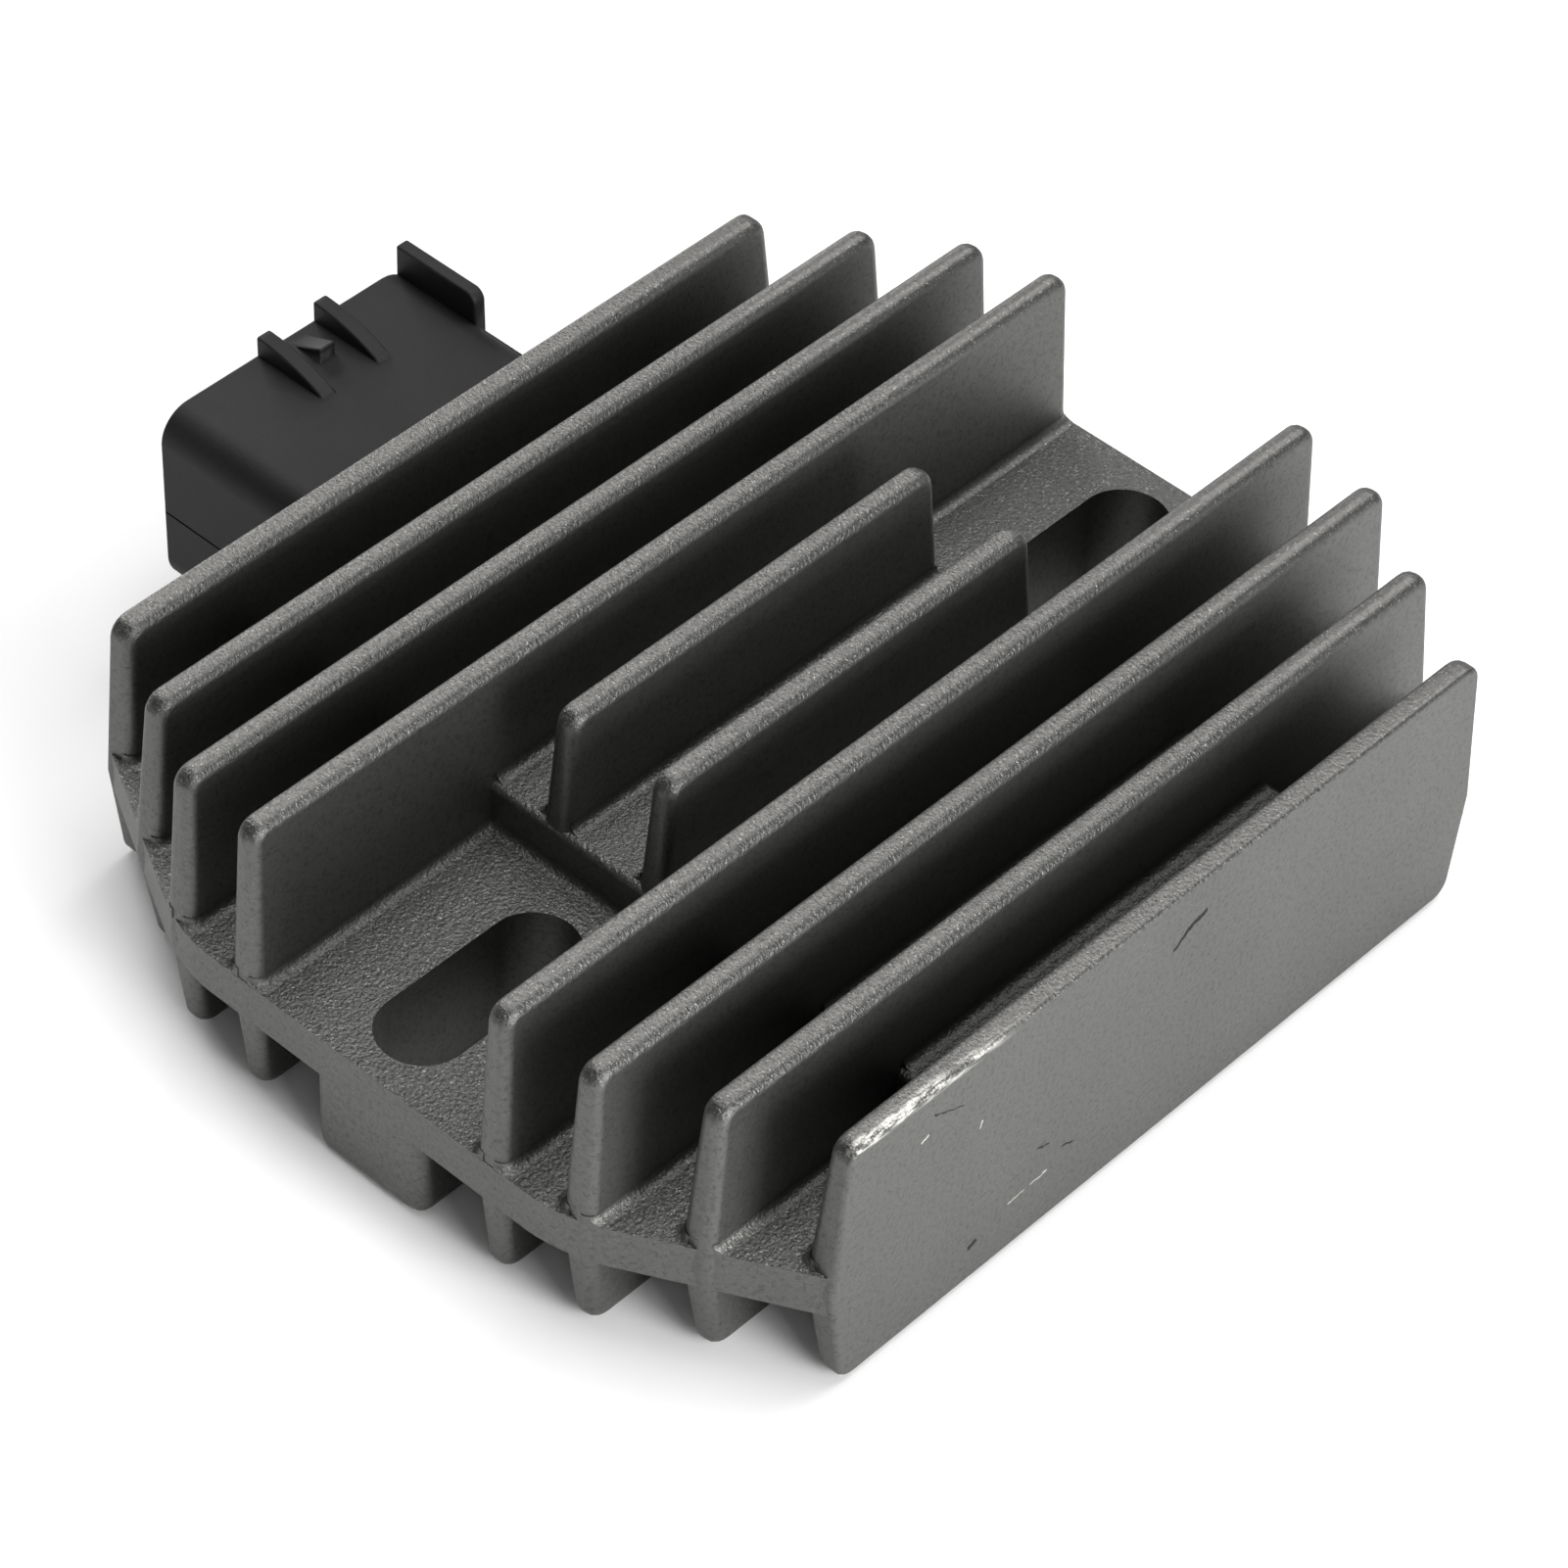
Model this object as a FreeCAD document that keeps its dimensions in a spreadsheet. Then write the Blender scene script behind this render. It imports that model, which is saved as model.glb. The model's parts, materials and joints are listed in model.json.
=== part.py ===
import FreeCAD, Part
import os
import re

import Sketcher
from FreeCAD import Placement, Rotation, Vector

# Voltage regulator rectifier: a die-cast finned heat sink with two slotted feet, a moulded
# connector housing on its side, and the potted rectifier circuit in a box under the fins.
# Millimetres. X runs across the fins, Y along them, Z up from the face it is bolted down by.
# The origin is on that face, midway between the two slots.

DIMENSIONS = (
    ("DeviceWidth", 13.0, "power device across the fins"),
    ("DeviceLength", 11.0, "power device along the fins"),
    ("DeviceHeight", 3.4, "power device"),
    ("DevicePitch", 18.0, "power devices across the fins"),
    ("DeviceRowSpacing", 22.0, "row of thyristors to row of diodes"),
    ("LeadThickness", 0.8, "square leads of a power device"),
    ("LeadPitch", 4.0, "leads of a power device"),
    ("SubstrateMargin", 2.5, "insulating plate beyond the power devices"),
    ("SubstrateThickness", 0.8, "insulating plate under the ceiling"),
    ("SubstrateShift", 5.0, "insulating plate away from the connector"),
    ("BoardMargin", 1.0, "circuit board beyond the insulating plate, along the fins"),
    ("BoardGap", 1.4, "circuit board to the end walls of the box"),
    ("BoardSideGap", 2.5, "circuit board to the side walls of the box"),
    ("BoardThickness", 1.6, "circuit board"),
    ("BoardHeight", 6.0, "underside of the circuit board above the mounting face"),
    ("BusWidth", 3.0, "bus bars"),
    ("BusThickness", 0.8, "bus bars"),
    ("BusOffset", 3.0, "each bus bar from the middle"),
    ("ChipWidth", 10.0, "control chip across the fins"),
    ("ChipLength", 6.4, "control chip along the fins"),
    ("ChipHeight", 2.2, "control chip"),
    ("CapacitorDiameter", 8.0, "smoothing capacitor"),
    ("CapacitorHeight", 4.2, "smoothing capacitor"),
    ("ZenerDiameter", 2.6, "voltage reference diode"),
    ("ZenerLength", 5.0, "voltage reference diode"),
    ("ResistorWidth", 6.4, "gate resistors across the fins"),
    ("ResistorLength", 3.2, "gate resistors along the fins"),
    ("ResistorHeight", 0.8, "gate resistors"),
    ("ResistorPitch", 9.0, "gate resistors across the fins"),
    ("PottingFill", 0.6, "surface of the potting compound inside the rim of the box"),
    ("BoxRim", 0.8, "open rim of the potting box above the mounting face"),
    ("BoxWall", 2.2, "end walls of the potting box"),
    ("BoxSideWall", 4.5, "side walls of the potting box with the outermost fins"),
    ("BoxCornerRadius", 2.0, "upright corners inside the potting box"),
    ("CeilingThickness", 3.0, "raised floor over the potting box"),
    ("PlatformSetback", 0.5, "steps of the raised floor inside the ends of the box"),
    ("PlatformRise", 4.7, "raised middle of the floor above the rest"),
    ("PlatformEdgeRadius", 0.6, "rounding of its two steps"),
    ("SlotClearance", 3.5, "mounting slot from the step of the raised floor"),
    ("SlotWidth", 8.4, "mounting slot"),
    ("SlotLength", 20.8, "mounting slot from end to end"),
    ("SlotEnd", 2.6, "metal between the slot and the end of the plate"),
    ("FootWidth", 12.6, "solid foot round each slot"),
    ("FootWall", 2.4, "foot beyond the inner end of its slot"),
    ("FootEdgeRadius", 1.0, "lower long edges of the feet"),
    ("PlateThickness", 4.4, "base plate"),
    ("FloorHeight", 13.5, "top of the base plate above the mounting face"),
    ("CornerAcross", 19.9, "cut of each plate corner, across the fins"),
    ("CornerAlong", 10.6, "cut of each plate corner, along the fins"),
    ("CornerEndRadius", 15.0, "rounding where the cut meets the end of the plate"),
    ("PlateRimBevel", 0.35, "bevel of the plate's upper and lower rims"),
    ("InnerFinOffset", 5.45, "innermost fin from the middle"),
    ("FinPitch", 8.72, "spacing of the fins"),
    ("SideFinSpacing", 10.39, "outer face of the outermost fin from the middle of the next fin"),
    ("FinTip", 2.4, "fin thickness at its tip"),
    ("FinRoot", 3.4, "fin thickness at the plate"),
    ("FinTipGap", 0.3, "lower fin tips above the mounting face"),
    ("FinEndRadius", 1.8, "fin corners seen from the side"),
    ("FinRiseShort", 16.8, "top of the two short middle fins above the floor"),
    ("FinRiseInner", 17.0, "top of the fins beside the slots above the floor"),
    ("FinRiseSecond", 16.0, "top of the next fins out above the floor"),
    ("FinRiseThird", 15.1, "top of the third fins out above the floor"),
    ("FinRiseOuter", 14.1, "top of the outermost fins above the floor"),
    ("FinSetbackShort", 0.3, "foot of the two short fins inside the steps of the raised floor"),
    ("FinLeanShort", 1.1, "lean of the ends of the two short fins"),
    ("FinSetbackInner", 0.9, "fins beside the slots inside the ends of the plate"),
    ("FinSetbackSecond", 2.0, "next fins out inside the ends of the plate"),
    ("FinSetbackThird", 6.8, "third fins out inside the ends of the plate"),
    ("FinSetbackOuter", 11.5, "outermost fins inside the ends of the plate"),
    ("BladeWidth", 6.3, "terminal blade"),
    ("BladeThickness", 0.8, "terminal blade"),
    ("BladePitch", 8.3, "terminal blades along the socket"),
    ("BladeRowSpacing", 6.4, "upper and lower row of blades"),
    ("BladeSetback", 5.0, "blade tips inside the mouth"),
    ("BladeSideGap", 1.55, "outer blades to the end walls of the socket"),
    ("BladeRoofGap", 4.65, "middle of a blade row to the nearer long wall of the socket"),
    ("TailWidth", 3.0, "soldered tail of a terminal"),
    ("TailClearance", 1.6, "upper tails below the ceiling of the potting box"),
    ("LowerTailHeight", 9.4, "lower tails above the mounting face"),
    ("UpperTailReach", 7.0, "upper tails into the potting box"),
    ("LowerTailReach", 4.4, "lower tails into the potting box"),
    ("ConnectorWall", 2.0, "shroud walls"),
    ("ConnectorDepth", 15.5, "socket from mouth to floor"),
    ("ConnectorFloor", 3.5, "floor of the socket"),
    ("ConnectorBase", 4.4, "underside of the shroud above the mounting face"),
    ("ConnectorShift", 0.7, "middle of the shroud off the middle of the plate"),
    ("ConnectorRadius", 3.3, "corners of the shroud"),
    ("SocketRadius", 1.2, "corners of the socket"),
    ("NeckInset", 1.5, "neck of the housing inside the ends of the shroud"),
    ("NeckHeight", 8.6, "neck of the housing"),
    ("NeckBase", 5.2, "underside of the neck above the mounting face"),
    ("NeckReach", 2.5, "neck into the potting box"),
    ("NeckClearance", 0.2, "neck to the window round it"),
    ("GuideOffset", 3.4, "each low guide rib from the middle of the latch"),
    ("GuideWidth", 1.6, "low guide ribs"),
    ("GuideRise", 2.1, "low guide ribs above the shroud"),
    ("GuideLength", 8.6, "low guide ribs from the mouth"),
    ("LatchShift", 0.1, "middle of the latch off the middle of the plate"),
    ("LatchWidth", 1.9, "latch wedge"),
    ("LatchRise", 1.5, "latch wedge above the shroud"),
    ("LatchLength", 3.6, "latch wedge"),
    ("LatchSetback", 1.1, "latch wedge from the mouth"),
    ("KeyWidth", 1.4, "high key rib"),
    ("KeyRise", 2.6, "high key rib above the shroud"),
    ("KeyLength", 10.0, "high key rib from the mouth"),
    ("KeyEndRadius", 1.2, "upper inner corner of the key rib"),
)

# Sizes that follow from the others: the casting is as long as its circuit and its slots need
RESULTS = (
    ("SubstrateLength", "DeviceRowSpacing + DeviceLength + 2 * SubstrateMargin", "the same along them"),
    ("SubstrateWidth", "2 * DevicePitch + DeviceWidth + 2 * SubstrateMargin", "insulating plate across the fins"),
    ("BoardLength", "SubstrateLength + 2 * BoardMargin", "circuit board along the fins"),
    ("BoxLength", "BoardLength + 2 * BoardGap + 2 * BoxWall", "potting box along the fins"),
    ("PlatformLength", "BoxLength - 2 * PlatformSetback", "raised middle of the floor along the fins"),
    ("SlotSpacing", "PlatformLength + 2 * SlotClearance + SlotLength", "centre of one slot to the other"),
    ("PlateLength", "SlotSpacing + SlotLength + 2 * SlotEnd", "base plate along the fins"),
    ("PlateWidth", "2 * (InnerFinOffset + 3 * FinPitch + SideFinSpacing)", "base plate across the fins"),
    ("BoardWidth", "PlateWidth - 2 * BoxSideWall - 2 * BoardSideGap", "circuit board across the fins"),
    ("FinLengthShort", "PlatformLength - 2 * FinSetbackShort", "the two short middle fins"),
    ("FinLengthInner", "PlateLength - 2 * FinSetbackInner", "the fins beside the slots"),
    ("FinLengthSecond", "PlateLength - 2 * FinSetbackSecond", "the next fins out"),
    ("FinLengthThird", "PlateLength - 2 * FinSetbackThird", "the third fins out"),
    ("FinLengthOuter", "PlateLength - 2 * FinSetbackOuter", "the outermost fins"),
    ("ConnectorReach", "ConnectorDepth + ConnectorFloor", "shroud out from the side of the plate"),
    ("SocketWidth", "2 * BladePitch + BladeWidth + 2 * BladeSideGap", "socket along the fins"),
    ("ConnectorWidth", "SocketWidth + 2 * ConnectorWall", "shroud along the fins"),
    ("ConnectorHeight", "BladeRowSpacing + 2 * BladeRoofGap + 2 * ConnectorWall", "shroud"),
    ("NeckWidth", "ConnectorWidth - 2 * NeckInset", "neck of the housing through the side of the casting"),
    ("BoxCeiling", "FloorHeight + PlatformRise - CeilingThickness", "ceiling of the potting box"),
    ("UpperTailHeight", "BoxCeiling - TailClearance - BladeThickness", "underside of the upper tails"),
)

doc = FreeCAD.newDocument("RegulatorRectifier")
sheet = doc.addObject("Spreadsheet::Sheet", "Dimensions")
for line, (alias, size, meaning) in enumerate(DIMENSIONS, start=1):
    sheet.set(f"A{line}", meaning)
    sheet.set(f"B{line}", str(size))
    sheet.setAlias(f"B{line}", alias)
for line, (alias, text, meaning) in enumerate(RESULTS, start=len(DIMENSIONS) + 1):
    sheet.set(f"A{line}", meaning)
    sheet.set(f"B{line}", "=" + text)
    sheet.setAlias(f"B{line}", alias)
doc.recompute()

SIZE = {row[0]: float(sheet.get(row[0])) for row in DIMENSIONS + RESULTS}
NEAR = 1e-3
workings = doc.addObject("Spreadsheet::Sheet", "Workings")
sub_parts = []


def bound(text):
    """Names the sheet in front of each size in an expression."""
    return re.sub(r"\b[A-Z]\w*", r"Dimensions.\g<0>", text)


def number(text):
    """What an expression comes to, worked out in a cell of the second sheet."""
    workings.set("A1", "=" + bound(text))
    workings.recompute()
    return float(workings.get("A1"))


# Expressions that several pieces share
PLATE_UNDER = "(FloorHeight - PlateThickness)"
PLATE_MIDDLE = "(FloorHeight - PlateThickness / 2)"
PLATFORM_TOP = "(FloorHeight + PlatformRise)"
CEILING = "BoxCeiling"
SIDE = "(PlateWidth / 2)"
MOUTH = "(PlateWidth / 2 + ConnectorReach)"
SHROUD_TOP = "(ConnectorBase + ConnectorHeight)"
CAVITY_SIDE = "(PlateWidth / 2 - BoxSideWall)"
CAVITY_END = "(BoxLength / 2 - BoxWall)"
BOARD_TOP = "(BoardHeight + BoardThickness)"
DEVICE_TOP = "(BoxCeiling - SubstrateThickness)"


def origin_plane(body, role):
    """One of a body's own origin planes."""
    return next(item for item in body.Origin.OriginFeatures if item.Role == role)


def new_body(label):
    """A body that becomes one sub-part."""
    body = doc.addObject("PartDesign::Body", label)
    body.Label = label
    sub_parts.append(body)
    return body


def new_sketch(body, name, role, offset=None):
    """A sketch on one of the body's planes, moved along the plane's normal by an expression."""
    sketch = body.newObject("Sketcher::SketchObject", name)
    sketch.AttachmentSupport = [(origin_plane(body, role), "")]
    sketch.MapMode = "FlatFace"
    if offset:
        sketch.setExpression("AttachmentOffset.Base.z", bound(offset))
    return sketch


def place_point(sketch, element, point, across=None, up=None):
    """Binds one point of a sketch to its expressions."""
    for kind, text in (("DistanceX", across), ("DistanceY", up)):
        if text is not None:
            start = number(text)
            index = sketch.addConstraint(Sketcher.Constraint(kind, -1, 1, element, point, start))
            sketch.setExpression(f"Constraints[{index}]", bound(text))


def arc_middle(start, end, centre):
    """The point halfway along an arc; half a circle bulges to the right of its way."""
    towards = (start + end) / 2 - centre
    if towards.Length < NEAR:
        towards = (end - start).cross(Vector(0, 0, 1))
    return centre + towards.normalize() * (start - centre).Length


def polygon(sketch, corners, arcs=None):
    """Draws a closed outline through corners given as pairs of expressions.

    A side whose number is in arcs is an arc about the centre that arcs gives for it.
    """
    arcs = arcs or {}
    first = sketch.GeometryCount
    count = len(corners)
    points = [Vector(number(across), number(up), 0) for across, up in corners]
    ends = []
    for side, start in enumerate(points):
        end = points[(side + 1) % count]
        if side not in arcs:
            sketch.addGeometry(Part.LineSegment(start, end), False)
            ends.append((1, 2))
            continue
        centre = Vector(number(arcs[side][0]), number(arcs[side][1]), 0)
        middle = arc_middle(start, end, centre)
        if (middle - start).cross(end - start).z > 0:
            sketch.addGeometry(Part.Arc(start, middle, end), False)
            ends.append((1, 2))
        else:
            sketch.addGeometry(Part.Arc(end, middle, start), False)
            ends.append((2, 1))
    for side in range(count):
        following = (side + 1) % count
        finish, start = ends[side][1], ends[following][0]
        sketch.addConstraint(
            Sketcher.Constraint("Coincident", first + side, finish, first + following, start)
        )
    for side, (across, up) in enumerate(corners):
        place_point(sketch, first + side, ends[side][0], across, up)
    for side, (across, up) in arcs.items():
        place_point(sketch, first + side, 3, up=up)


def rectangle(sketch, left, right, low, high):
    """Draws a rectangle between four expressions."""
    polygon(sketch, ((left, low), (right, low), (right, high), (left, high)))


def circle(sketch, across, up, radius):
    """Draws a circle from three expressions."""
    middle = Vector(number(across), number(up), 0)
    element = sketch.addGeometry(Part.Circle(middle, Vector(0, 0, 1), number(radius)), False)
    place_point(sketch, element, 3, across, up)
    index = sketch.addConstraint(Sketcher.Constraint("Radius", element, number(radius)))
    sketch.setExpression(f"Constraints[{index}]", bound(radius))


def settle(feature):
    """Recomputes the document and stops at a feature that has failed."""
    doc.recompute()
    if {"Invalid", "Error"} & set(feature.State):
        raise RuntimeError(f"{feature.Name}: {feature.getStatusString()}")


def pad(body, name, sketch, length, both_ways=False, backwards=False):
    """Adds a sketch's outline, drawn out by an expression's length."""
    feature = body.newObject("PartDesign::Pad", name)
    feature.Profile = sketch
    feature.Midplane = both_ways
    feature.Reversed = backwards
    feature.setExpression("Length", bound(length))
    settle(feature)
    return feature


def pocket(body, name, sketch, length, both_ways=False, backwards=False):
    """Cuts a sketch's outline away and makes sure that something went."""
    before = body.Shape.Volume
    feature = body.newObject("PartDesign::Pocket", name)
    feature.Profile = sketch
    feature.Midplane = both_ways
    feature.Reversed = backwards
    feature.setExpression("Length", bound(length))
    settle(feature)
    if body.Shape.Volume > before - NEAR:
        raise RuntimeError(f"{name} cuts nothing")
    return feature


def mirrored(body, name, originals, role):
    """Repeats features on the other side of a plane of the body."""
    feature = body.newObject("PartDesign::Mirrored", name)
    feature.Originals = originals
    feature.MirrorPlane = (origin_plane(body, role), [""])
    body.Tip = feature
    settle(feature)
    return feature


def rounded(body, name, radius, wanted):
    """Rounds the edges of the body that a test picks."""
    base = body.Tip
    names = [f"Edge{n}" for n, edge in enumerate(base.Shape.Edges, start=1) if wanted(edge)]
    if not names:
        raise RuntimeError(f"{name} has no edges")
    feature = body.newObject("PartDesign::Fillet", name)
    feature.Base = (base, names)
    feature.setExpression("Radius", bound(radius))
    settle(feature)
    return feature


def bevelled(body, name, size, wanted):
    """Bevels the edges of the body that a test picks."""
    base = body.Tip
    names = [f"Edge{n}" for n, edge in enumerate(base.Shape.Edges, start=1) if wanted(edge)]
    if not names:
        raise RuntimeError(f"{name} has no edges")
    feature = body.newObject("PartDesign::Chamfer", name)
    feature.Base = (base, names)
    feature.setExpression("Size", bound(size))
    settle(feature)
    return feature


def close(one, other):
    """True where two sizes agree."""
    return abs(one - other) < NEAR


def is_upright(edge):
    """True for an edge that runs straight up."""
    box = edge.BoundBox
    return box.XLength < NEAR and box.YLength < NEAR


def runs_across(edge):
    """True for an edge that runs along X."""
    box = edge.BoundBox
    return box.YLength < NEAR and box.ZLength < NEAR


def runs_along(edge):
    """True for an edge that runs along Y."""
    box = edge.BoundBox
    return box.XLength < NEAR and box.ZLength < NEAR


# Heat sink: one casting of plate, fins, feet and potting box
def make_plate(body):
    """Base plate: a rectangle with its four corners cut and the cuts' ends rounded."""
    side, end = "PlateWidth / 2", "PlateLength / 2"
    cut_x, cut_y = "(PlateWidth / 2 - CornerAcross)", "(PlateLength / 2 - CornerAlong)"
    sketch = new_sketch(body, "PlateOutline", "XY_Plane", PLATE_UNDER)
    polygon(
        sketch,
        (
            (side, f"-{cut_y}"),
            (side, cut_y),
            (cut_x, end),
            (f"-{cut_x}", end),
            (f"-{side}", cut_y),
            (f"-{side}", f"-{cut_y}"),
            (f"-{cut_x}", f"-{end}"),
            (cut_x, f"-{end}"),
        ),
    )
    pad(body, "Plate", sketch, "PlateThickness")
    end_y = SIZE["PlateLength"] / 2
    side_x = SIZE["PlateWidth"] / 2
    rounded(
        body, "PlateEndRounding", "CornerEndRadius",
        lambda edge: is_upright(edge) and close(abs(edge.CenterOfMass.y), end_y),
    )

    def is_rim(edge):
        """A level edge of the plate, but for the two sides that the outermost fins cover."""
        box = edge.BoundBox
        on_side = box.XLength < NEAR and close(abs(edge.CenterOfMass.x), side_x)
        return box.ZLength < NEAR and not on_side

    bevelled(body, "PlateRims", "PlateRimBevel", is_rim)


def fin_profile(body, name, place, rise):
    """A drafted web through the plate, with a round tip above and below."""
    top = f"(FloorHeight + {rise} - FinTip / 2)"
    low = "(FinTipGap + FinTip / 2)"
    sketch = new_sketch(body, f"{name}Profile", "XZ_Plane")
    corners = (
        (f"{place} + FinRoot / 2", PLATE_MIDDLE),
        (f"{place} + FinTip / 2", top),
        (f"{place} - FinTip / 2", top),
        (f"{place} - FinRoot / 2", PLATE_MIDDLE),
        (f"{place} - FinTip / 2", low),
        (f"{place} + FinTip / 2", low),
    )
    polygon(sketch, corners, arcs={1: (place, top), 4: (place, low)})
    return sketch


def short_fin_profile(body, name, place, rise):
    """A drafted web with a round tip, on the upper side of the plate only."""
    top = f"(FloorHeight + {rise} - FinTip / 2)"
    sketch = new_sketch(body, f"{name}Profile", "XZ_Plane")
    corners = (
        (f"{place} + FinRoot / 2", PLATE_MIDDLE),
        (f"{place} + FinTip / 2", top),
        (f"{place} - FinTip / 2", top),
        (f"{place} - FinRoot / 2", PLATE_MIDDLE),
    )
    polygon(sketch, corners, arcs={1: (place, top)})
    return sketch


def side_fin_profile(body, name, rise):
    """The outermost web, whose outer face is flat and flush with the plate's side."""
    top = f"(FloorHeight + {rise} - FinTip / 2)"
    low = "(FinTipGap + FinTip / 2)"
    tip_middle = f"({SIDE} - FinTip / 2)"
    sketch = new_sketch(body, f"{name}Profile", "XZ_Plane")
    corners = (
        (SIDE, low),
        (SIDE, top),
        (f"{SIDE} - FinTip", top),
        (f"{SIDE} - FinRoot", PLATE_MIDDLE),
        (f"{SIDE} - FinTip", low),
    )
    polygon(sketch, corners, arcs={1: (tip_middle, top), 4: (tip_middle, low)})
    return sketch


def cut_fin_corners(body, name, place, rise, length):
    """Rounds a fin's corners as seen from the side, above and below."""
    sketch = new_sketch(body, f"{name}Corners", "YZ_Plane", f"{place} - FinRoot")
    for tip, outwards, inwards in ((f"(FloorHeight + {rise})", "+", "-"), ("FinTipGap", "-", "+")):
        for side in ("", "-"):
            edge_y = f"{side}({length} / 2)"
            beyond_y = f"{side}({length} / 2 + FinEndRadius)"
            start_y = f"{side}({length} / 2 - FinEndRadius)"
            beyond_z = f"{tip} {outwards} FinEndRadius"
            start_z = f"{tip} {inwards} FinEndRadius"
            corners = (
                (edge_y, start_z),
                (beyond_y, start_z),
                (beyond_y, beyond_z),
                (start_y, beyond_z),
                (start_y, tip),
            )
            polygon(sketch, corners, arcs={4: (start_y, start_z)})
    return pocket(body, f"{name}Ends", sketch, "2 * FinRoot", backwards=True)


def cut_short_fin_ends(body, place):
    """Leans the ends of a short fin inwards, up to its rounded upper corners."""
    sketch = new_sketch(body, "ShortFinCorners", "YZ_Plane", f"{place} - FinRoot")
    tip = "(FloorHeight + FinRiseShort)"
    for side in ("", "-"):
        foot_y = f"{side}(FinLengthShort / 2)"
        edge_y = f"{side}(FinLengthShort / 2 - FinLeanShort)"
        beyond_y = f"{side}(FinLengthShort / 2 + FinEndRadius)"
        start_y = f"{side}(FinLengthShort / 2 - FinLeanShort - FinEndRadius)"
        start_z = f"{tip} - FinEndRadius"
        beyond_z = f"{tip} + FinEndRadius"
        corners = (
            (foot_y, PLATFORM_TOP),
            (beyond_y, PLATFORM_TOP),
            (beyond_y, beyond_z),
            (start_y, beyond_z),
            (start_y, tip),
            (edge_y, start_z),
        )
        polygon(sketch, corners, arcs={4: (start_y, start_z)})
    return pocket(body, "ShortFinEnds", sketch, "2 * FinRoot", backwards=True)


def make_fins(body):
    """Five pairs of fins, lower and shorter towards the sides."""
    first = "(InnerFinOffset + FinPitch)"
    second = "(InnerFinOffset + 2 * FinPitch)"
    third = "(InnerFinOffset + 3 * FinPitch)"
    short_profile = short_fin_profile(body, "ShortFin", "InnerFinOffset", "FinRiseShort")
    features = [
        pad(body, "ShortFin", short_profile, "FinLengthShort", both_ways=True),
        cut_short_fin_ends(body, "InnerFinOffset"),
    ]
    fins = (
        ("InnerFin", first, "FinRiseInner", "FinLengthInner"),
        ("SecondFin", second, "FinRiseSecond", "FinLengthSecond"),
        ("ThirdFin", third, "FinRiseThird", "FinLengthThird"),
    )
    for name, place, rise, length in fins:
        features.append(pad(body, name, fin_profile(body, name, place, rise), length, both_ways=True))
        features.append(cut_fin_corners(body, name, place, rise, length))
    side_profile = side_fin_profile(body, "SideFin", "FinRiseOuter")
    features.append(pad(body, "SideFin", side_profile, "FinLengthOuter", both_ways=True))
    side_middle = f"({SIDE} - FinTip / 2)"
    features.append(cut_fin_corners(body, "SideFin", side_middle, "FinRiseOuter", "FinLengthOuter"))
    mirrored(body, "FinsOfTheOtherSide", features, "YZ_Plane")


def make_platform(body):
    """Middle of the floor, raised over the potting box, with a rounded step at each end."""
    half = "PlatformLength / 2"
    inside = "(PlateWidth / 2 - FinRoot / 2)"
    sketch = new_sketch(body, "PlatformOutline", "XY_Plane", PLATE_MIDDLE)
    rectangle(sketch, f"-{inside}", inside, f"-{half}", half)
    pad(body, "Platform", sketch, "PlateThickness / 2 + PlatformRise")
    top = SIZE["FloorHeight"] + SIZE["PlatformRise"]
    end = SIZE["PlatformLength"] / 2

    def is_step(edge):
        """An upper edge of the step between two fins."""
        middle = edge.CenterOfMass
        return runs_across(edge) and close(middle.z, top) and close(abs(middle.y), end)

    rounded(body, "PlatformSteps", "PlatformEdgeRadius", is_step)


def make_feet(body):
    """Solid feet under the two ends, down to the mounting face, for the slots to pass through."""
    half = "FootWidth / 2"
    outer = "(PlateLength / 2 - PlateRimBevel)"
    inner = "(SlotSpacing / 2 - SlotLength / 2 - FootWall)"
    sketch = new_sketch(body, "FeetOutline", "XY_Plane")
    rectangle(sketch, f"-{half}", half, inner, outer)
    rectangle(sketch, f"-{half}", half, f"-{outer}", f"-{inner}")
    pad(body, "Feet", sketch, PLATE_MIDDLE)
    side = SIZE["FootWidth"] / 2

    def is_lower_edge(edge):
        """A long lower edge of a foot."""
        middle = edge.CenterOfMass
        return runs_along(edge) and close(middle.z, 0) and close(abs(middle.x), side)

    rounded(body, "FeetEdges", "FootEdgeRadius", is_lower_edge)


def make_box(body):
    """Potting box under the middle: walls between the side fins, open downwards."""
    wide = "(PlateWidth / 2 - FinTip / 2)"
    long = "BoxLength / 2"
    block = new_sketch(body, "BoxOutline", "XY_Plane", "BoxRim")
    rectangle(block, f"-{wide}", wide, f"-{long}", long)
    pad(body, "Box", block, f"{PLATE_MIDDLE} - BoxRim")
    cavity = new_sketch(body, "CavityOutline", "XY_Plane")
    rectangle(cavity, f"-{CAVITY_SIDE}", CAVITY_SIDE, f"-{CAVITY_END}", CAVITY_END)
    pocket(body, "Cavity", cavity, CEILING, backwards=True)
    reach = SIZE["PlateWidth"] / 2 - SIZE["BoxSideWall"]
    end = SIZE["BoxLength"] / 2 - SIZE["BoxWall"]

    def is_cavity_corner(edge):
        """An upright corner inside the potting box."""
        middle = edge.CenterOfMass
        return is_upright(edge) and close(abs(middle.x), reach) and close(abs(middle.y), end)

    rounded(body, "CavityCorners", "BoxCornerRadius", is_cavity_corner)
    window = new_sketch(body, "WindowOutline", "YZ_Plane", f"-{SIDE} - ConnectorWall")
    half = "(NeckWidth / 2 + NeckClearance)"
    shift = "ConnectorShift"
    rectangle(window, f"-{shift} - {half}", f"-{shift} + {half}", "NeckBase - NeckClearance",
              "NeckBase + NeckHeight + NeckClearance")
    pocket(body, "Window", window, "ConnectorWall + BoxSideWall + NeckReach", backwards=True)


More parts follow.
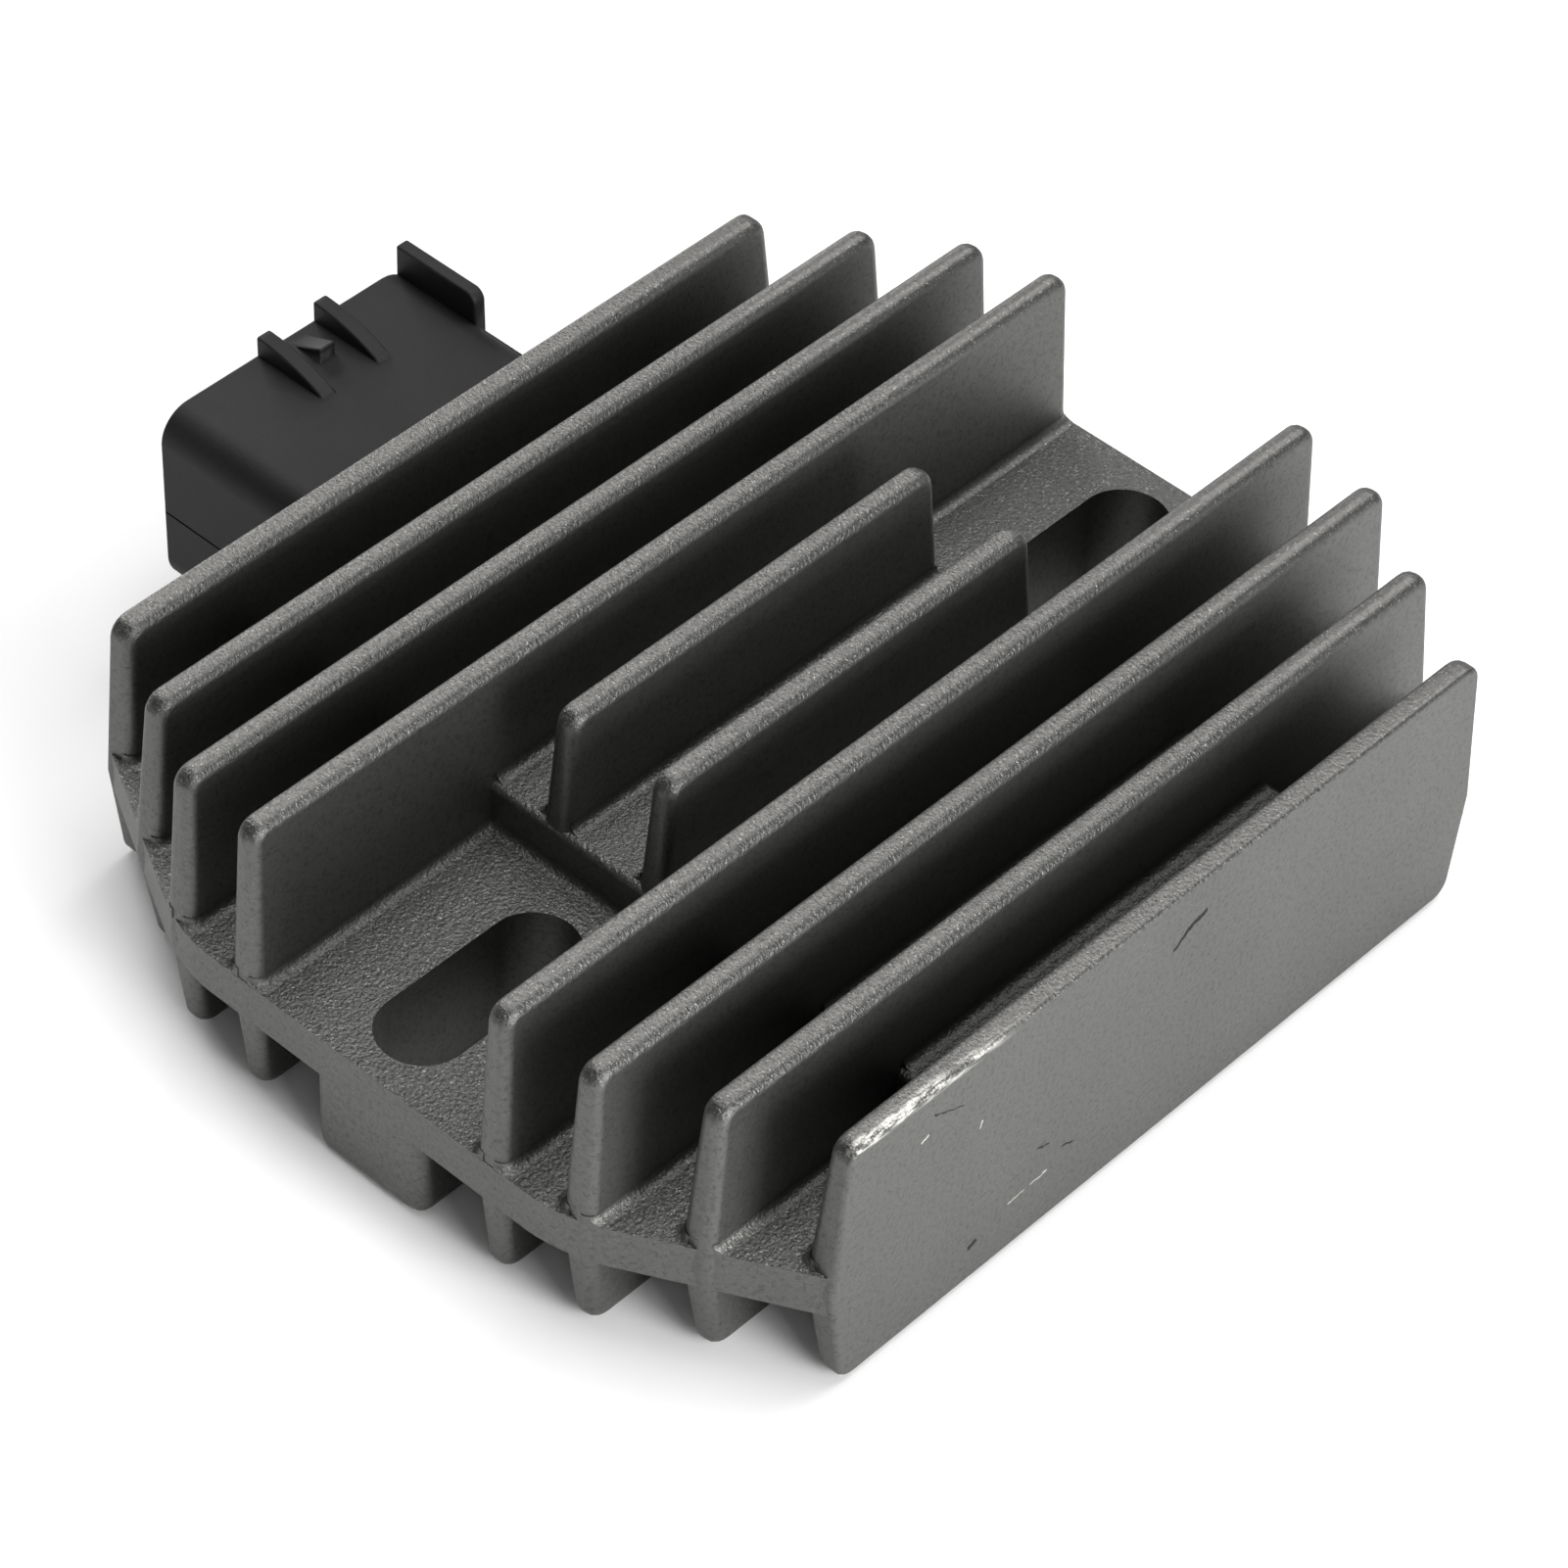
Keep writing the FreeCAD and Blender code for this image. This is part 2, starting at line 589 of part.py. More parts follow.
def make_slots(body):
    """Two slots along Y, each through the plate and its foot."""
    reach = "(SlotLength / 2 - SlotWidth / 2)"
    centre = "SlotSpacing / 2"
    straight = new_sketch(body, "SlotSides", "XY_Plane")
    ends = new_sketch(body, "SlotEnds", "XY_Plane")
    wide = "SlotWidth / 2"
    rectangle(straight, f"-{wide}", wide, f"{centre} - {reach}", f"{centre} + {reach}")
    rectangle(straight, f"-{wide}", wide, f"-{centre} - {reach}", f"-{centre} + {reach}")
    pocket(body, "SlotMiddles", straight, "FloorHeight + PlatformRise", backwards=True)
    for place in (f"{centre} - {reach}", f"{centre} + {reach}", f"-{centre} - {reach}",
                  f"-{centre} + {reach}"):
        circle(ends, "0", place, wide)
    pocket(body, "SlotRounds", ends, "FloorHeight + PlatformRise", backwards=True)


def make_heat_sink():
    """The casting, from the plate outwards and downwards."""
    body = new_body("heat_sink")
    make_plate(body)
    make_platform(body)
    make_fins(body)
    make_feet(body)
    make_box(body)
    make_slots(body)


# Connector housing: a moulded shroud with a neck through the side of the casting
def make_connector_housing(blades):
    """Shroud with its socket, guide ribs, latch wedge and key rib, moulded round the blades."""
    body = doc.addObject("PartDesign::Body", "housing_moulding")
    low_y = "(-ConnectorShift - ConnectorWidth / 2)"
    high_y = "(-ConnectorShift + ConnectorWidth / 2)"
    outline = new_sketch(body, "ShroudOutline", "YZ_Plane", f"-{MOUTH}")
    rectangle(outline, low_y, high_y, "ConnectorBase", SHROUD_TOP)
    pad(body, "Shroud", outline, "ConnectorReach")
    top = SIZE["ConnectorBase"] + SIZE["ConnectorHeight"]
    rounded(body, "ShroudCorners", "ConnectorRadius", runs_across)
    socket = new_sketch(body, "SocketOutline", "YZ_Plane", f"-{MOUTH}")
    wall = "ConnectorWall"
    rectangle(socket, f"{low_y} + {wall}", f"{high_y} - {wall}", f"ConnectorBase + {wall}",
              f"{SHROUD_TOP} - {wall}")
    pocket(body, "Socket", socket, "ConnectorDepth", backwards=True)
    wall_size = SIZE["ConnectorWall"]
    inner_heights = (SIZE["ConnectorBase"] + wall_size, top - wall_size)

    def is_socket_corner(edge):
        """An edge along the inside of the socket."""
        reach = SIZE["PlateWidth"] / 2 + SIZE["ConnectorReach"]
        starts_at_mouth = close(edge.BoundBox.XMin, -reach)
        at_a_wall = any(close(edge.CenterOfMass.z, height) for height in inner_heights)
        return runs_across(edge) and starts_at_mouth and at_a_wall

    rounded(body, "SocketCorners", "SocketRadius", is_socket_corner)
    make_guides(body)
    make_latch(body)
    make_key(body, high_y)
    neck = new_sketch(body, "NeckOutline", "YZ_Plane", f"-{SIDE} - ConnectorWall")
    rectangle(neck, "-ConnectorShift - NeckWidth / 2", "-ConnectorShift + NeckWidth / 2", "NeckBase",
              "NeckBase + NeckHeight")
    pad(body, "Neck", neck, "ConnectorWall + BoxSideWall + NeckReach")
    inserts = doc.addObject("Part::Compound", "moulded_in_blades")
    inserts.Links = blades
    housing = doc.addObject("Part::Cut", "connector_housing")
    housing.Base = body
    housing.Tool = inserts
    housing.Label = "connector_housing"
    doc.recompute()
    sub_parts.append(housing)


def make_guides(body):
    """Two low ribs on the shroud beside the latch, curving down to it away from the mouth."""
    sunk = f"({SHROUD_TOP} - ConnectorWall / 2)"
    crest = f"({SHROUD_TOP} + GuideRise)"
    bend = "((GuideLength * GuideLength + GuideRise * GuideRise) / (2 * GuideRise))"
    for name, sign in (("NearGuide", "-"), ("FarGuide", "+")):
        sketch = new_sketch(body, f"{name}Profile", "XZ_Plane", f"-(LatchShift {sign} GuideOffset)")
        corners = (
            (f"-{MOUTH}", sunk),
            (f"-{MOUTH} + GuideLength", sunk),
            (f"-{MOUTH} + GuideLength", SHROUD_TOP),
            (f"-{MOUTH}", crest),
        )
        polygon(sketch, corners, arcs={2: (f"-{MOUTH}", f"{crest} - {bend}")})
        pad(body, name, sketch, "GuideWidth", both_ways=True)


def make_latch(body):
    """Latch wedge, which rises away from the mouth to an upright face that the plug's clip holds."""
    sketch = new_sketch(body, "LatchProfile", "XZ_Plane", "-LatchShift")
    start = f"-{MOUTH} + LatchSetback"
    sunk = f"({SHROUD_TOP} - ConnectorWall / 2)"
    corners = (
        (start, sunk),
        (f"{start} + LatchLength", sunk),
        (f"{start} + LatchLength", f"{SHROUD_TOP} + LatchRise"),
        (start, SHROUD_TOP),
    )
    polygon(sketch, corners)
    pad(body, "Latch", sketch, "LatchWidth", both_ways=True)


def make_key(body, high_y):
    """High key rib along the far edge of the shroud, rounded at its upper inner corner."""
    sketch = new_sketch(body, "KeyOutline", "XY_Plane", f"{SHROUD_TOP} - ConnectorRadius")
    rectangle(sketch, f"-{MOUTH}", f"-{MOUTH} + KeyLength", f"{high_y} - KeyWidth", high_y)
    pad(body, "Key", sketch, "ConnectorRadius + KeyRise")
    inner_end = -SIZE["PlateWidth"] / 2 - SIZE["ConnectorReach"] + SIZE["KeyLength"]
    crest = SIZE["ConnectorBase"] + SIZE["ConnectorHeight"] + SIZE["KeyRise"]

    def is_inner_corner(edge):
        """The upper edge at the key rib's inner end."""
        middle = edge.CenterOfMass
        return runs_along(edge) and close(middle.x, inner_end) and close(middle.z, crest)

    rounded(body, "KeyEnd", "KeyEndRadius", is_inner_corner)


# Terminals: blades in the socket, bent down inside the housing and soldered to the board
def blade_solid(row, place):
    """One terminal, cut from strip: blade, bend, tail and the tail's foot on the board."""
    mouth = -SIZE["PlateWidth"] / 2 - SIZE["ConnectorReach"]
    thick = SIZE["BladeThickness"]
    middle = SIZE["ConnectorBase"] + SIZE["ConnectorHeight"] / 2
    blade_z = middle + row * SIZE["BladeRowSpacing"] / 2 - thick / 2
    tail_z = SIZE["UpperTailHeight"] if row > 0 else SIZE["LowerTailHeight"]
    reach = SIZE["UpperTailReach"] if row > 0 else SIZE["LowerTailReach"]
    tip_x = mouth + SIZE["BladeSetback"]
    bend_x = mouth + SIZE["ConnectorDepth"] + SIZE["ConnectorWall"] / 2
    end_x = -SIZE["PlateWidth"] / 2 + SIZE["BoxSideWall"] + reach
    board_top = SIZE["BoardHeight"] + SIZE["BoardThickness"]
    blade = Part.makeBox(bend_x + thick - tip_x, SIZE["BladeWidth"], thick,
                         Vector(tip_x, place - SIZE["BladeWidth"] / 2, blade_z))
    nose = [edge for edge in blade.Edges if close(edge.CenterOfMass.x, tip_x) and
            edge.BoundBox.YLength > thick]
    blade = blade.makeChamfer(thick / 3, nose)
    low = min(blade_z, tail_z)
    side = place - SIZE["TailWidth"] / 2
    bend = Part.makeBox(thick, SIZE["TailWidth"], abs(blade_z - tail_z) + thick, Vector(bend_x, side, low))
    tail = Part.makeBox(end_x - bend_x, SIZE["TailWidth"], thick, Vector(bend_x, side, tail_z))
    foot = Part.makeBox(thick, SIZE["TailWidth"], tail_z - board_top + thick,
                        Vector(end_x - thick, side, board_top))
    return blade.fuse([bend, tail, foot]).removeSplitter()


def solid_part(label, shape):
    """A sub-part whose shape is worked out from the sheet."""
    item = doc.addObject("Part::Feature", label)
    item.Shape = shape
    item.Label = label
    item.Placement = Placement()
    sub_parts.append(item)
    return item


def box_part(label, length, width, height, across, along, up):
    """A plain block centred on two expressions, standing on a third."""
    item = doc.addObject("Part::Box", label)
    item.Label = label
    for name, text in (("Length", length), ("Width", width), ("Height", height)):
        item.setExpression(name, bound(text))
    item.setExpression("Placement.Base.x", bound(f"{across} - ({length}) / 2"))
    item.setExpression("Placement.Base.y", bound(f"{along} - ({width}) / 2"))
    item.setExpression("Placement.Base.z", bound(up))
    doc.recompute([item])
    sub_parts.append(item)
    return item


BLADES = (
    ("blade_phase_a", 1, -1),
    ("blade_phase_b", 1, 0),
    ("blade_phase_c", 1, 1),
    ("blade_positive", -1, -1),
    ("blade_sense", -1, 0),
    ("blade_ground", -1, 1),
)


def make_blades():
    """Three phase blades in the upper row; positive, sense and ground in the lower one."""
    return [
        solid_part(label, blade_solid(row, column * SIZE["BladePitch"] - SIZE["ConnectorShift"]))
        for label, row, column in BLADES
    ]


# Rectifier circuit inside the potting box
def power_device(across, along, facing):
    """A power device against the insulating plate, with three leads down to the board."""
    high = SIZE["DeviceHeight"]
    low = SIZE["BoxCeiling"] - SIZE["SubstrateThickness"] - high
    wide, long = SIZE["DeviceWidth"], SIZE["DeviceLength"]
    package = Part.makeBox(wide, long, high, Vector(across - wide / 2, along - long / 2, low))
    thick = SIZE["LeadThickness"]
    board_top = SIZE["BoardHeight"] + SIZE["BoardThickness"]
    lead_y = along + facing * (long / 2 - thick) - thick / 2
    leads = [
        Part.makeBox(thick, thick, low - board_top,
                     Vector(across + count * SIZE["LeadPitch"] - thick / 2, lead_y, board_top))
        for count in (-1, 0, 1)
    ]
    return package.fuse(leads)


def make_circuit():
    """Insulating plate, power devices, board, bus bars and the control parts."""
    box_part("insulating_plate", "SubstrateWidth", "SubstrateLength", "SubstrateThickness",
             "SubstrateShift", "0", DEVICE_TOP)
    for row, label in ((1, "thyristor"), (-1, "diode")):
        for count, letter in ((-1, "a"), (0, "b"), (1, "c")):
            across = SIZE["SubstrateShift"] + count * SIZE["DevicePitch"]
            along = row * SIZE["DeviceRowSpacing"] / 2
            solid_part(f"{label}_{letter}", power_device(across, along, -row))
    box_part("circuit_board", "BoardWidth", "BoardLength", "BoardThickness", "0", "0", "BoardHeight")
    box_part("positive_bus_bar", "SubstrateWidth", "BusWidth", "BusThickness",
             "SubstrateShift", "BusOffset", BOARD_TOP)
    box_part("ground_bus_bar", "SubstrateWidth", "BusWidth", "BusThickness",
             "SubstrateShift", "-BusOffset", BOARD_TOP)
    box_part("control_chip", "ChipWidth", "ChipLength", "ChipHeight", "SubstrateShift - DevicePitch",
             "DeviceRowSpacing / 2 - BusOffset", "BoardHeight - ChipHeight")
    capacitor = doc.addObject("Part::Cylinder", "capacitor")
    capacitor.Label = "capacitor"
    capacitor.setExpression("Radius", bound("CapacitorDiameter / 2"))
    capacitor.setExpression("Height", bound("CapacitorHeight"))
    capacitor.setExpression("Placement.Base.x", bound("SubstrateShift + DevicePitch"))
    capacitor.setExpression("Placement.Base.y", bound("DeviceRowSpacing / 2 - BusOffset"))
    capacitor.setExpression("Placement.Base.z", bound("BoardHeight - CapacitorHeight"))
    sub_parts.append(capacitor)
    box_part("voltage_reference", "ZenerLength", "ZenerDiameter", "ZenerDiameter", "SubstrateShift",
             "DeviceRowSpacing / 2 - BusOffset", "BoardHeight - ZenerDiameter")
    for count, letter in ((-1, "a"), (0, "b"), (1, "c")):
        box_part(f"gate_resistor_{letter}", "ResistorWidth", "ResistorLength", "ResistorHeight",
                 f"SubstrateShift + {count} * ResistorPitch", "-DeviceRowSpacing / 2",
                 "BoardHeight - ResistorHeight")


def make_potting(inner):
    """Compound that fills the potting box round everything in it."""
    reach = SIZE["PlateWidth"] / 2 - SIZE["BoxSideWall"]
    end = SIZE["BoxLength"] / 2 - SIZE["BoxWall"]
    low = SIZE["BoxRim"] + SIZE["PottingFill"]
    block = Part.makeBox(2 * reach, 2 * end, SIZE["BoxCeiling"] - low, Vector(-reach, -end, low))
    upright = [edge for edge in block.Edges if is_upright(edge)]
    block = block.makeFillet(SIZE["BoxCornerRadius"], upright)
    compound = block.cut(inner)
    solid_part("potting_compound", max(compound.Solids, key=lambda solid: solid.Volume))


make_heat_sink()
blades = make_blades()
make_connector_housing(blades)
make_circuit()
doc.recompute()
make_potting([item.Shape for item in sub_parts[1:]])


def write_parts():
    """Checks every object and writes each sub-part's solid."""
    doc.recompute()
    failed = [item.Name for item in doc.Objects if {"Invalid", "Error"} & set(item.State)]
    if failed:
        raise RuntimeError(f"failed objects: {failed}")
    os.makedirs("parts", exist_ok=True)
    for part in sub_parts:
        if part.Shape.isNull() or not part.Shape.isValid():
            raise RuntimeError(f"{part.Label} is no valid solid")
        part.Shape.exportStep(f"parts/{part.Label}.step")
        print(part.Label, round(part.Shape.Volume, 1), len(part.Shape.Faces))


write_parts()
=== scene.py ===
"""A regulator rectifier on a pale floor: a finned casting with the connector of its sealed circuit."""

from __future__ import annotations

import json
import logging
import math
from dataclasses import dataclass
from enum import Enum

import bmesh
import bpy
from mathutils import Matrix, Vector

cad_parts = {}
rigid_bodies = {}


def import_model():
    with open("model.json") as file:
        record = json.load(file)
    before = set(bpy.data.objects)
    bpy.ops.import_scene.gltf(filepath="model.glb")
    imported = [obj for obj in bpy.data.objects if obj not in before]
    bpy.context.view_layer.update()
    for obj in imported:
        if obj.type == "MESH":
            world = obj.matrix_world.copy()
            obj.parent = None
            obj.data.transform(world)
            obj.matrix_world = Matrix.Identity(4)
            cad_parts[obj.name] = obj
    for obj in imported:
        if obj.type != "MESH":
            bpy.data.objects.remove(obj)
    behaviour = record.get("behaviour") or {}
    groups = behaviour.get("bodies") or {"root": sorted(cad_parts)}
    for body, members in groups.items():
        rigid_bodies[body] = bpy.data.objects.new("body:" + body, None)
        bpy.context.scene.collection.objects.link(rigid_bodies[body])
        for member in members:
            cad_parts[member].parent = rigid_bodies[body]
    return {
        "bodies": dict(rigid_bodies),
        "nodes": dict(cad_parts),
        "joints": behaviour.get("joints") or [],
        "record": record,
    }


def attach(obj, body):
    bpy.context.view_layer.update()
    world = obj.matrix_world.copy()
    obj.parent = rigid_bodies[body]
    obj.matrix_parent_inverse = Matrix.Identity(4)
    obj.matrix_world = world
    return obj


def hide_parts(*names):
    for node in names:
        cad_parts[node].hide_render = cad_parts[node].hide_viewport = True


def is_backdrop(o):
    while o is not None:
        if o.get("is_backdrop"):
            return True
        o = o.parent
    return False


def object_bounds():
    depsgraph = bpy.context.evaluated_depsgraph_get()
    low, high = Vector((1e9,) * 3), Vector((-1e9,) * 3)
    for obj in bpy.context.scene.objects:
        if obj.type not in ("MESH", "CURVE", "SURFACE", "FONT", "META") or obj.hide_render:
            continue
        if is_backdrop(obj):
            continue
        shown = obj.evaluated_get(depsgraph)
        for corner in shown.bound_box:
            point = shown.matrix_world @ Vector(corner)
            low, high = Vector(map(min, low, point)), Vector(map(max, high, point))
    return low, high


Socket = bpy.types.NodeSocket
Mesh = bmesh.types.BMesh
Edge = bmesh.types.BMEdge
Vertex = bmesh.types.BMVert
Range = tuple[float, ...]

LOG = logging.getLogger("regulator")
MM = 0.001
NEAR = 1e-4
DEFAULT_IOR = 1.5
# Where the casting's outer faces and its raised floor are, in millimetres.
OUTER_FACE = 42.0
RAISED_FLOOR = 18.2
# How much of a face's normal points up, or to a side, where the face counts as such.
UPRIGHT, LEVEL, SIDEWAYS = 0.1, 0.9, 0.7
# Edges sharper than this many degrees stay sharp in the shading.
SMOOTH_LIMIT = 38.0


class Kind(Enum):
    """Shader nodes by what they do."""

    COORDINATES = "TexCoord"
    GEOMETRY = "NewGeometry"
    NOISE = "TexNoise"
    MIX = "Mix"
    MATHS = "Math"
    VECTOR_MATHS = "VectorMath"
    RANGE = "MapRange"
    SPLIT = "SeparateXYZ"
    BUMP = "Bump"


def linear(colour: str) -> tuple[float, ...]:
    """Turns an sRGB colour into the linear one that a shader takes.

    Args:
        colour: The colour as six hex digits.

    Returns:
        The red, green, blue and alpha parts, each 0 to 1.
    """
    parts = []
    for start in (0, 2, 4):
        value = int(colour[start : start + 2], 16) / 255
        parts.append(value / 12.92 if value <= 0.04045 else ((value + 0.055) / 1.055) ** 2.4)
    return (*parts, 1.0)


@dataclass(frozen=True)
class Pattern:
    """A noise pattern: the size of its grains in millimetres, its detail and its roughness."""

    size: float
    detail: float
    roughness: float = 0.5

    def values(self) -> dict[str, float]:
        """The values of its node."""
        return {"Scale": 1 / (self.size * MM), "Detail": self.detail, "Roughness": self.roughness}


def span(low: float, high: float, first: float = 0.0, last: float = 1.0) -> dict[int, float]:
    """The values that turn a range from low to high into one from first to last."""
    return {1: low, 2: high, 3: first, 4: last}


def span_mm(low: float, high: float, first: float = 0.0, last: float = 1.0) -> dict[int, float]:
    """The same values for a range from low to high in millimetres."""
    return span(low * MM, high * MM, first, last)


class Surface:
    """A material in the making: its shader and the patterns that feed it."""

    def __init__(self, name: str, colour: str, metallic: float, roughness: float, ior: float) -> None:
        """Makes the material with its plain values.

        Args:
            name: What the material is called.
            colour: Its base colour as hex digits.
            metallic: How much of a metal it is.
            roughness: How rough it is.
            ior: How strongly it bends light.
        """
        self.material = bpy.data.materials.new(name)
        self.material.use_nodes = True
        self.tree = self.material.node_tree
        self.shader = self.tree.nodes["Principled BSDF"]
        for socket, value in (
            ("Base Color", linear(colour)), ("Metallic", metallic), ("Roughness", roughness), ("IOR", ior)
        ):
            self.shader.inputs[socket].default_value = value
        self.place = self.add(Kind.COORDINATES, "place").outputs["Object"]
        self.where = self.add(Kind.SPLIT, "place parts", {0: self.place}).outputs

    def add(
        self,
        kind: Kind,
        label: str,
        links: dict | None = None,
        values: dict | None = None,
        **settings: object,
    ) -> bpy.types.Node:
        """Adds one node with its settings and its links.

        Args:
            kind: Which node.
            label: What the node is for.
            links: Outputs that feed its inputs, by name or number.
            values: Values of its inputs, by name or number; hex digits stand for a colour.
            **settings: The node's own settings.

        Returns:
            The node.
        """
        node = self.tree.nodes.new("ShaderNode" + kind.value)
        node.label = label
        for name, setting in settings.items():
            setattr(node, name, setting)
        for name, value in (values or {}).items():
            node.inputs[name].default_value = linear(value) if isinstance(value, str) else value
        for name, source in (links or {}).items():
            self.tree.links.new(source, node.inputs[name])
        return node

    def feed(self, socket: str, source: Socket) -> None:
        """Feeds a socket of the shader."""
        self.tree.links.new(source, self.shader.inputs[socket])

    def clouded(self, cloud: Pattern, skin: str, shade: str) -> Socket:
        """Lays soft clouds of a second tone over the first.

        Args:
            cloud: The pattern of the clouds.
            skin: The first tone, as hex digits.
            shade: The second tone.

        Returns:
            The colour.
        """
        clouds = self.add(Kind.NOISE, "clouds", {"Vector": self.place}, cloud.values())
        mixed = self.add(
            Kind.MIX, "skin", {0: clouds.outputs["Fac"]}, {6: skin, 7: shade}, data_type="RGBA"
        )
        return mixed.outputs[2]

    def roughen(self, grain: Pattern, depth: float) -> None:
        """Gives the skin a fine relief.

        Args:
            grain: The pattern of the relief.
            depth: How deep it is, in millimetres.
        """
        height = self.add(Kind.NOISE, "grain", {"Vector": self.place}, grain.values())
        relief = self.add(
            Kind.BUMP,
            "grain relief",
            {"Height": height.outputs["Fac"]},
            {"Strength": 1.0, "Distance": depth * MM},
        )
        self.feed("Normal", relief.outputs["Normal"])


@dataclass(frozen=True)
class Mark:
    """A crack or scratch in the flat outer face, along the fins and up in millimetres."""

    start: tuple[float, float]
    end: tuple[float, float]
    width: float
    colour: str


CRACK, SCRATCH = "101010", "d0cec9"


@dataclass(frozen=True)
class BlastedAluminium:
    """Die-cast aluminium, shot-blasted and darkened.

    The blasting gives a close peel of tiny craters that breaks the light into bright and dark grains.
    It is deepest on the tops and floors, and shallow at the far end; the flanks keep the smoother skin
    of the die. Bright grains painted into the colour stand for glints, more of them on faces that look
    up. The bottom of the narrow channels is darkened with painted shade. The crests of the fin tips
    are painted paler, partly as rubbed wear and partly as painted highlight, between shoulders darkened
    with painted shade, and the near part of the outermost edge is worn to bare metal. The real grains
    are a tenth of a millimetre wide, and are drawn two to three times as wide so that they show. A
    range says where an effect starts and ends, and then how strong it is at both.
    """

    skin: str = "6b6b69"
    shade: str = "61615f"
    fleck: str = "323231"
    # Bright grains painted into the colour as glints, more of them on faces that look up.
    glint: str = "b4b3af"
    # The crests of the fin tips paler, as rubbed wear and painted highlight; their shoulders darker, as
    # painted shade.
    rubbed_and_lit: str = "777674"
    shaded_shoulder: str = "4e4e4d"
    # The painted shade at the bottom of the narrow channels.
    deep: str = "3c3c3b"
    bare: str = "e4e2dc"
    roughness: float = 0.52
    cloud: Pattern = Pattern(9.0, 3.0)
    mottle: Pattern = Pattern(0.5, 4.0, 0.75)
    glint_grain: Pattern = Pattern(0.2, 1.0)
    peel: Pattern = Pattern(0.34, 2.0, 0.6)
    streak: Pattern = Pattern(0.5, 4.0, 0.7)
    shake: Pattern = Pattern(0.7, 3.0)
    shift: float = 0.7
    stretch: Range = (1.0, 0.2, 1.0)
    facing_up: Range = (0.15, 0.9)
    crest: Range = (0.8, 0.99)
    tips: Range = (22.5, 26.5)
    fleck_share: Range = (0.48, 0.7, 0.0, 0.5)
    # How much painted glint there is, by the grain's pattern and by how far a face looks up.
    glint_share: Range = (0.6, 0.8)
    glint_facing: Range = (0.0, 1.0, 0.15, 0.75)
    # Where the painted shade of the narrow channels lies.
    channel_floor: Range = (17.0, 27.0, 0.7, 0.0)
    channel_inner: Range = (13.6, 15.5)
    channel_outer: Range = (39.5, 41.0, 1.0, 0.0)
    channel_length: Range = (24.0, 40.0, 1.0, 0.0)
    streak_share: Range = (0.42, 0.6)
    edge_across: Range = (40.9, 41.5)
    edge_high: Range = (26.7, 27.1)
    edge_near: Range = (-31.0, -17.0, 1.0, 0.0)
    outer_face: Range = (41.6, 41.8)
    far_end: Range = (15.0, 35.0, 1.0, 0.3)
    peel_depth: float = 0.19
    flank_depth: float = 0.18
    marks: tuple[Mark, ...] = (
        Mark((3.6, 23.5), (1.6, 22.9), 0.34, CRACK),
        Mark((1.6, 22.9), (0.0, 21.6), 0.24, CRACK),
        Mark((-28.9, 24.5), (-25.5, 23.0), 0.1, CRACK),
        Mark((-15.6, 10.1), (-14.1, 9.6), 0.15, CRACK),
        Mark((-12.4, 7.9), (-11.0, 7.5), 0.15, CRACK),
        Mark((-23.4, 4.4), (-22.8, 4.6), 0.4, CRACK),
        Mark((-18.8, 6.0), (-16.9, 6.2), 0.08, SCRATCH),
        Mark((-16.1, 6.2), (-14.2, 6.4), 0.08, SCRATCH),
        Mark((-30.2, 22.3), (-29.5, 22.7), 0.14, SCRATCH),
        Mark((-23.1, 18.5), (-23.0, 19.3), 0.1, SCRATCH),
    )

    def make(self) -> bpy.types.Material:
        """Makes the material.

        Returns:
            The material.
        """
        made = Surface("cast_aluminium", self.skin, 1.0, self.roughness, DEFAULT_IOR)
        facing = made.add(Kind.GEOMETRY, "facing")
        sides = made.add(Kind.SPLIT, "facing parts", {0: facing.outputs["Normal"]})
        up = made.add(Kind.RANGE, "facing up", {0: sides.outputs["Z"]}, span(*self.facing_up)).outputs[0]
        crest = made.add(Kind.RANGE, "crest", {0: sides.outputs["Z"]}, span(*self.crest)).outputs[0]
        tone = made.clouded(self.cloud, self.skin, self.shade)
        # The fin tips get painted highlight and shade, the grains painted glints, the narrow channels
        # painted shade.
        tone = self.worn_and_lit_tips(made, tone, (up, crest))
        tone = self.channel_shade(made, self.grain(made, tone, up))
        tone = self.bare_edge(made, tone)
        made.feed("Base Color", self.marked(made, tone))
        made.feed("Normal", self.relief(made, up))
        return made.material

    def worn_and_lit_tips(self, made: Surface, tone: Socket, facing: tuple[Socket, Socket]) -> Socket:
        """Paints the crests of the fin tips paler, partly as rubbed wear and partly as painted highlight,
        between shoulders darkened with painted shade.

        Args:
            made: The surface.
            tone: The colour below.
            facing: How far a place faces up, and how nearly it faces straight up.

        Returns:
            The colour.
        """
        up, crest = facing
        high = made.add(Kind.RANGE, "fin tips", {0: made.where["Z"]}, span_mm(*self.tips))
        tip = made.add(Kind.MATHS, "tip share", {0: up, 1: high.outputs[0]}, operation="MULTIPLY")
        # The crests paler, partly rubbed wear and partly painted highlight; the shoulders in painted shade.
        tip_light_and_wear = made.add(
            Kind.MIX, "rubbed crest", {0: crest}, {6: self.shaded_shoulder, 7: self.rubbed_and_lit}, data_type="RGBA"
        )
        links = {0: tip.outputs[0], 6: tone, 7: tip_light_and_wear.outputs[2]}
        return made.add(Kind.MIX, "rubbed tips", links, data_type="RGBA").outputs[2]

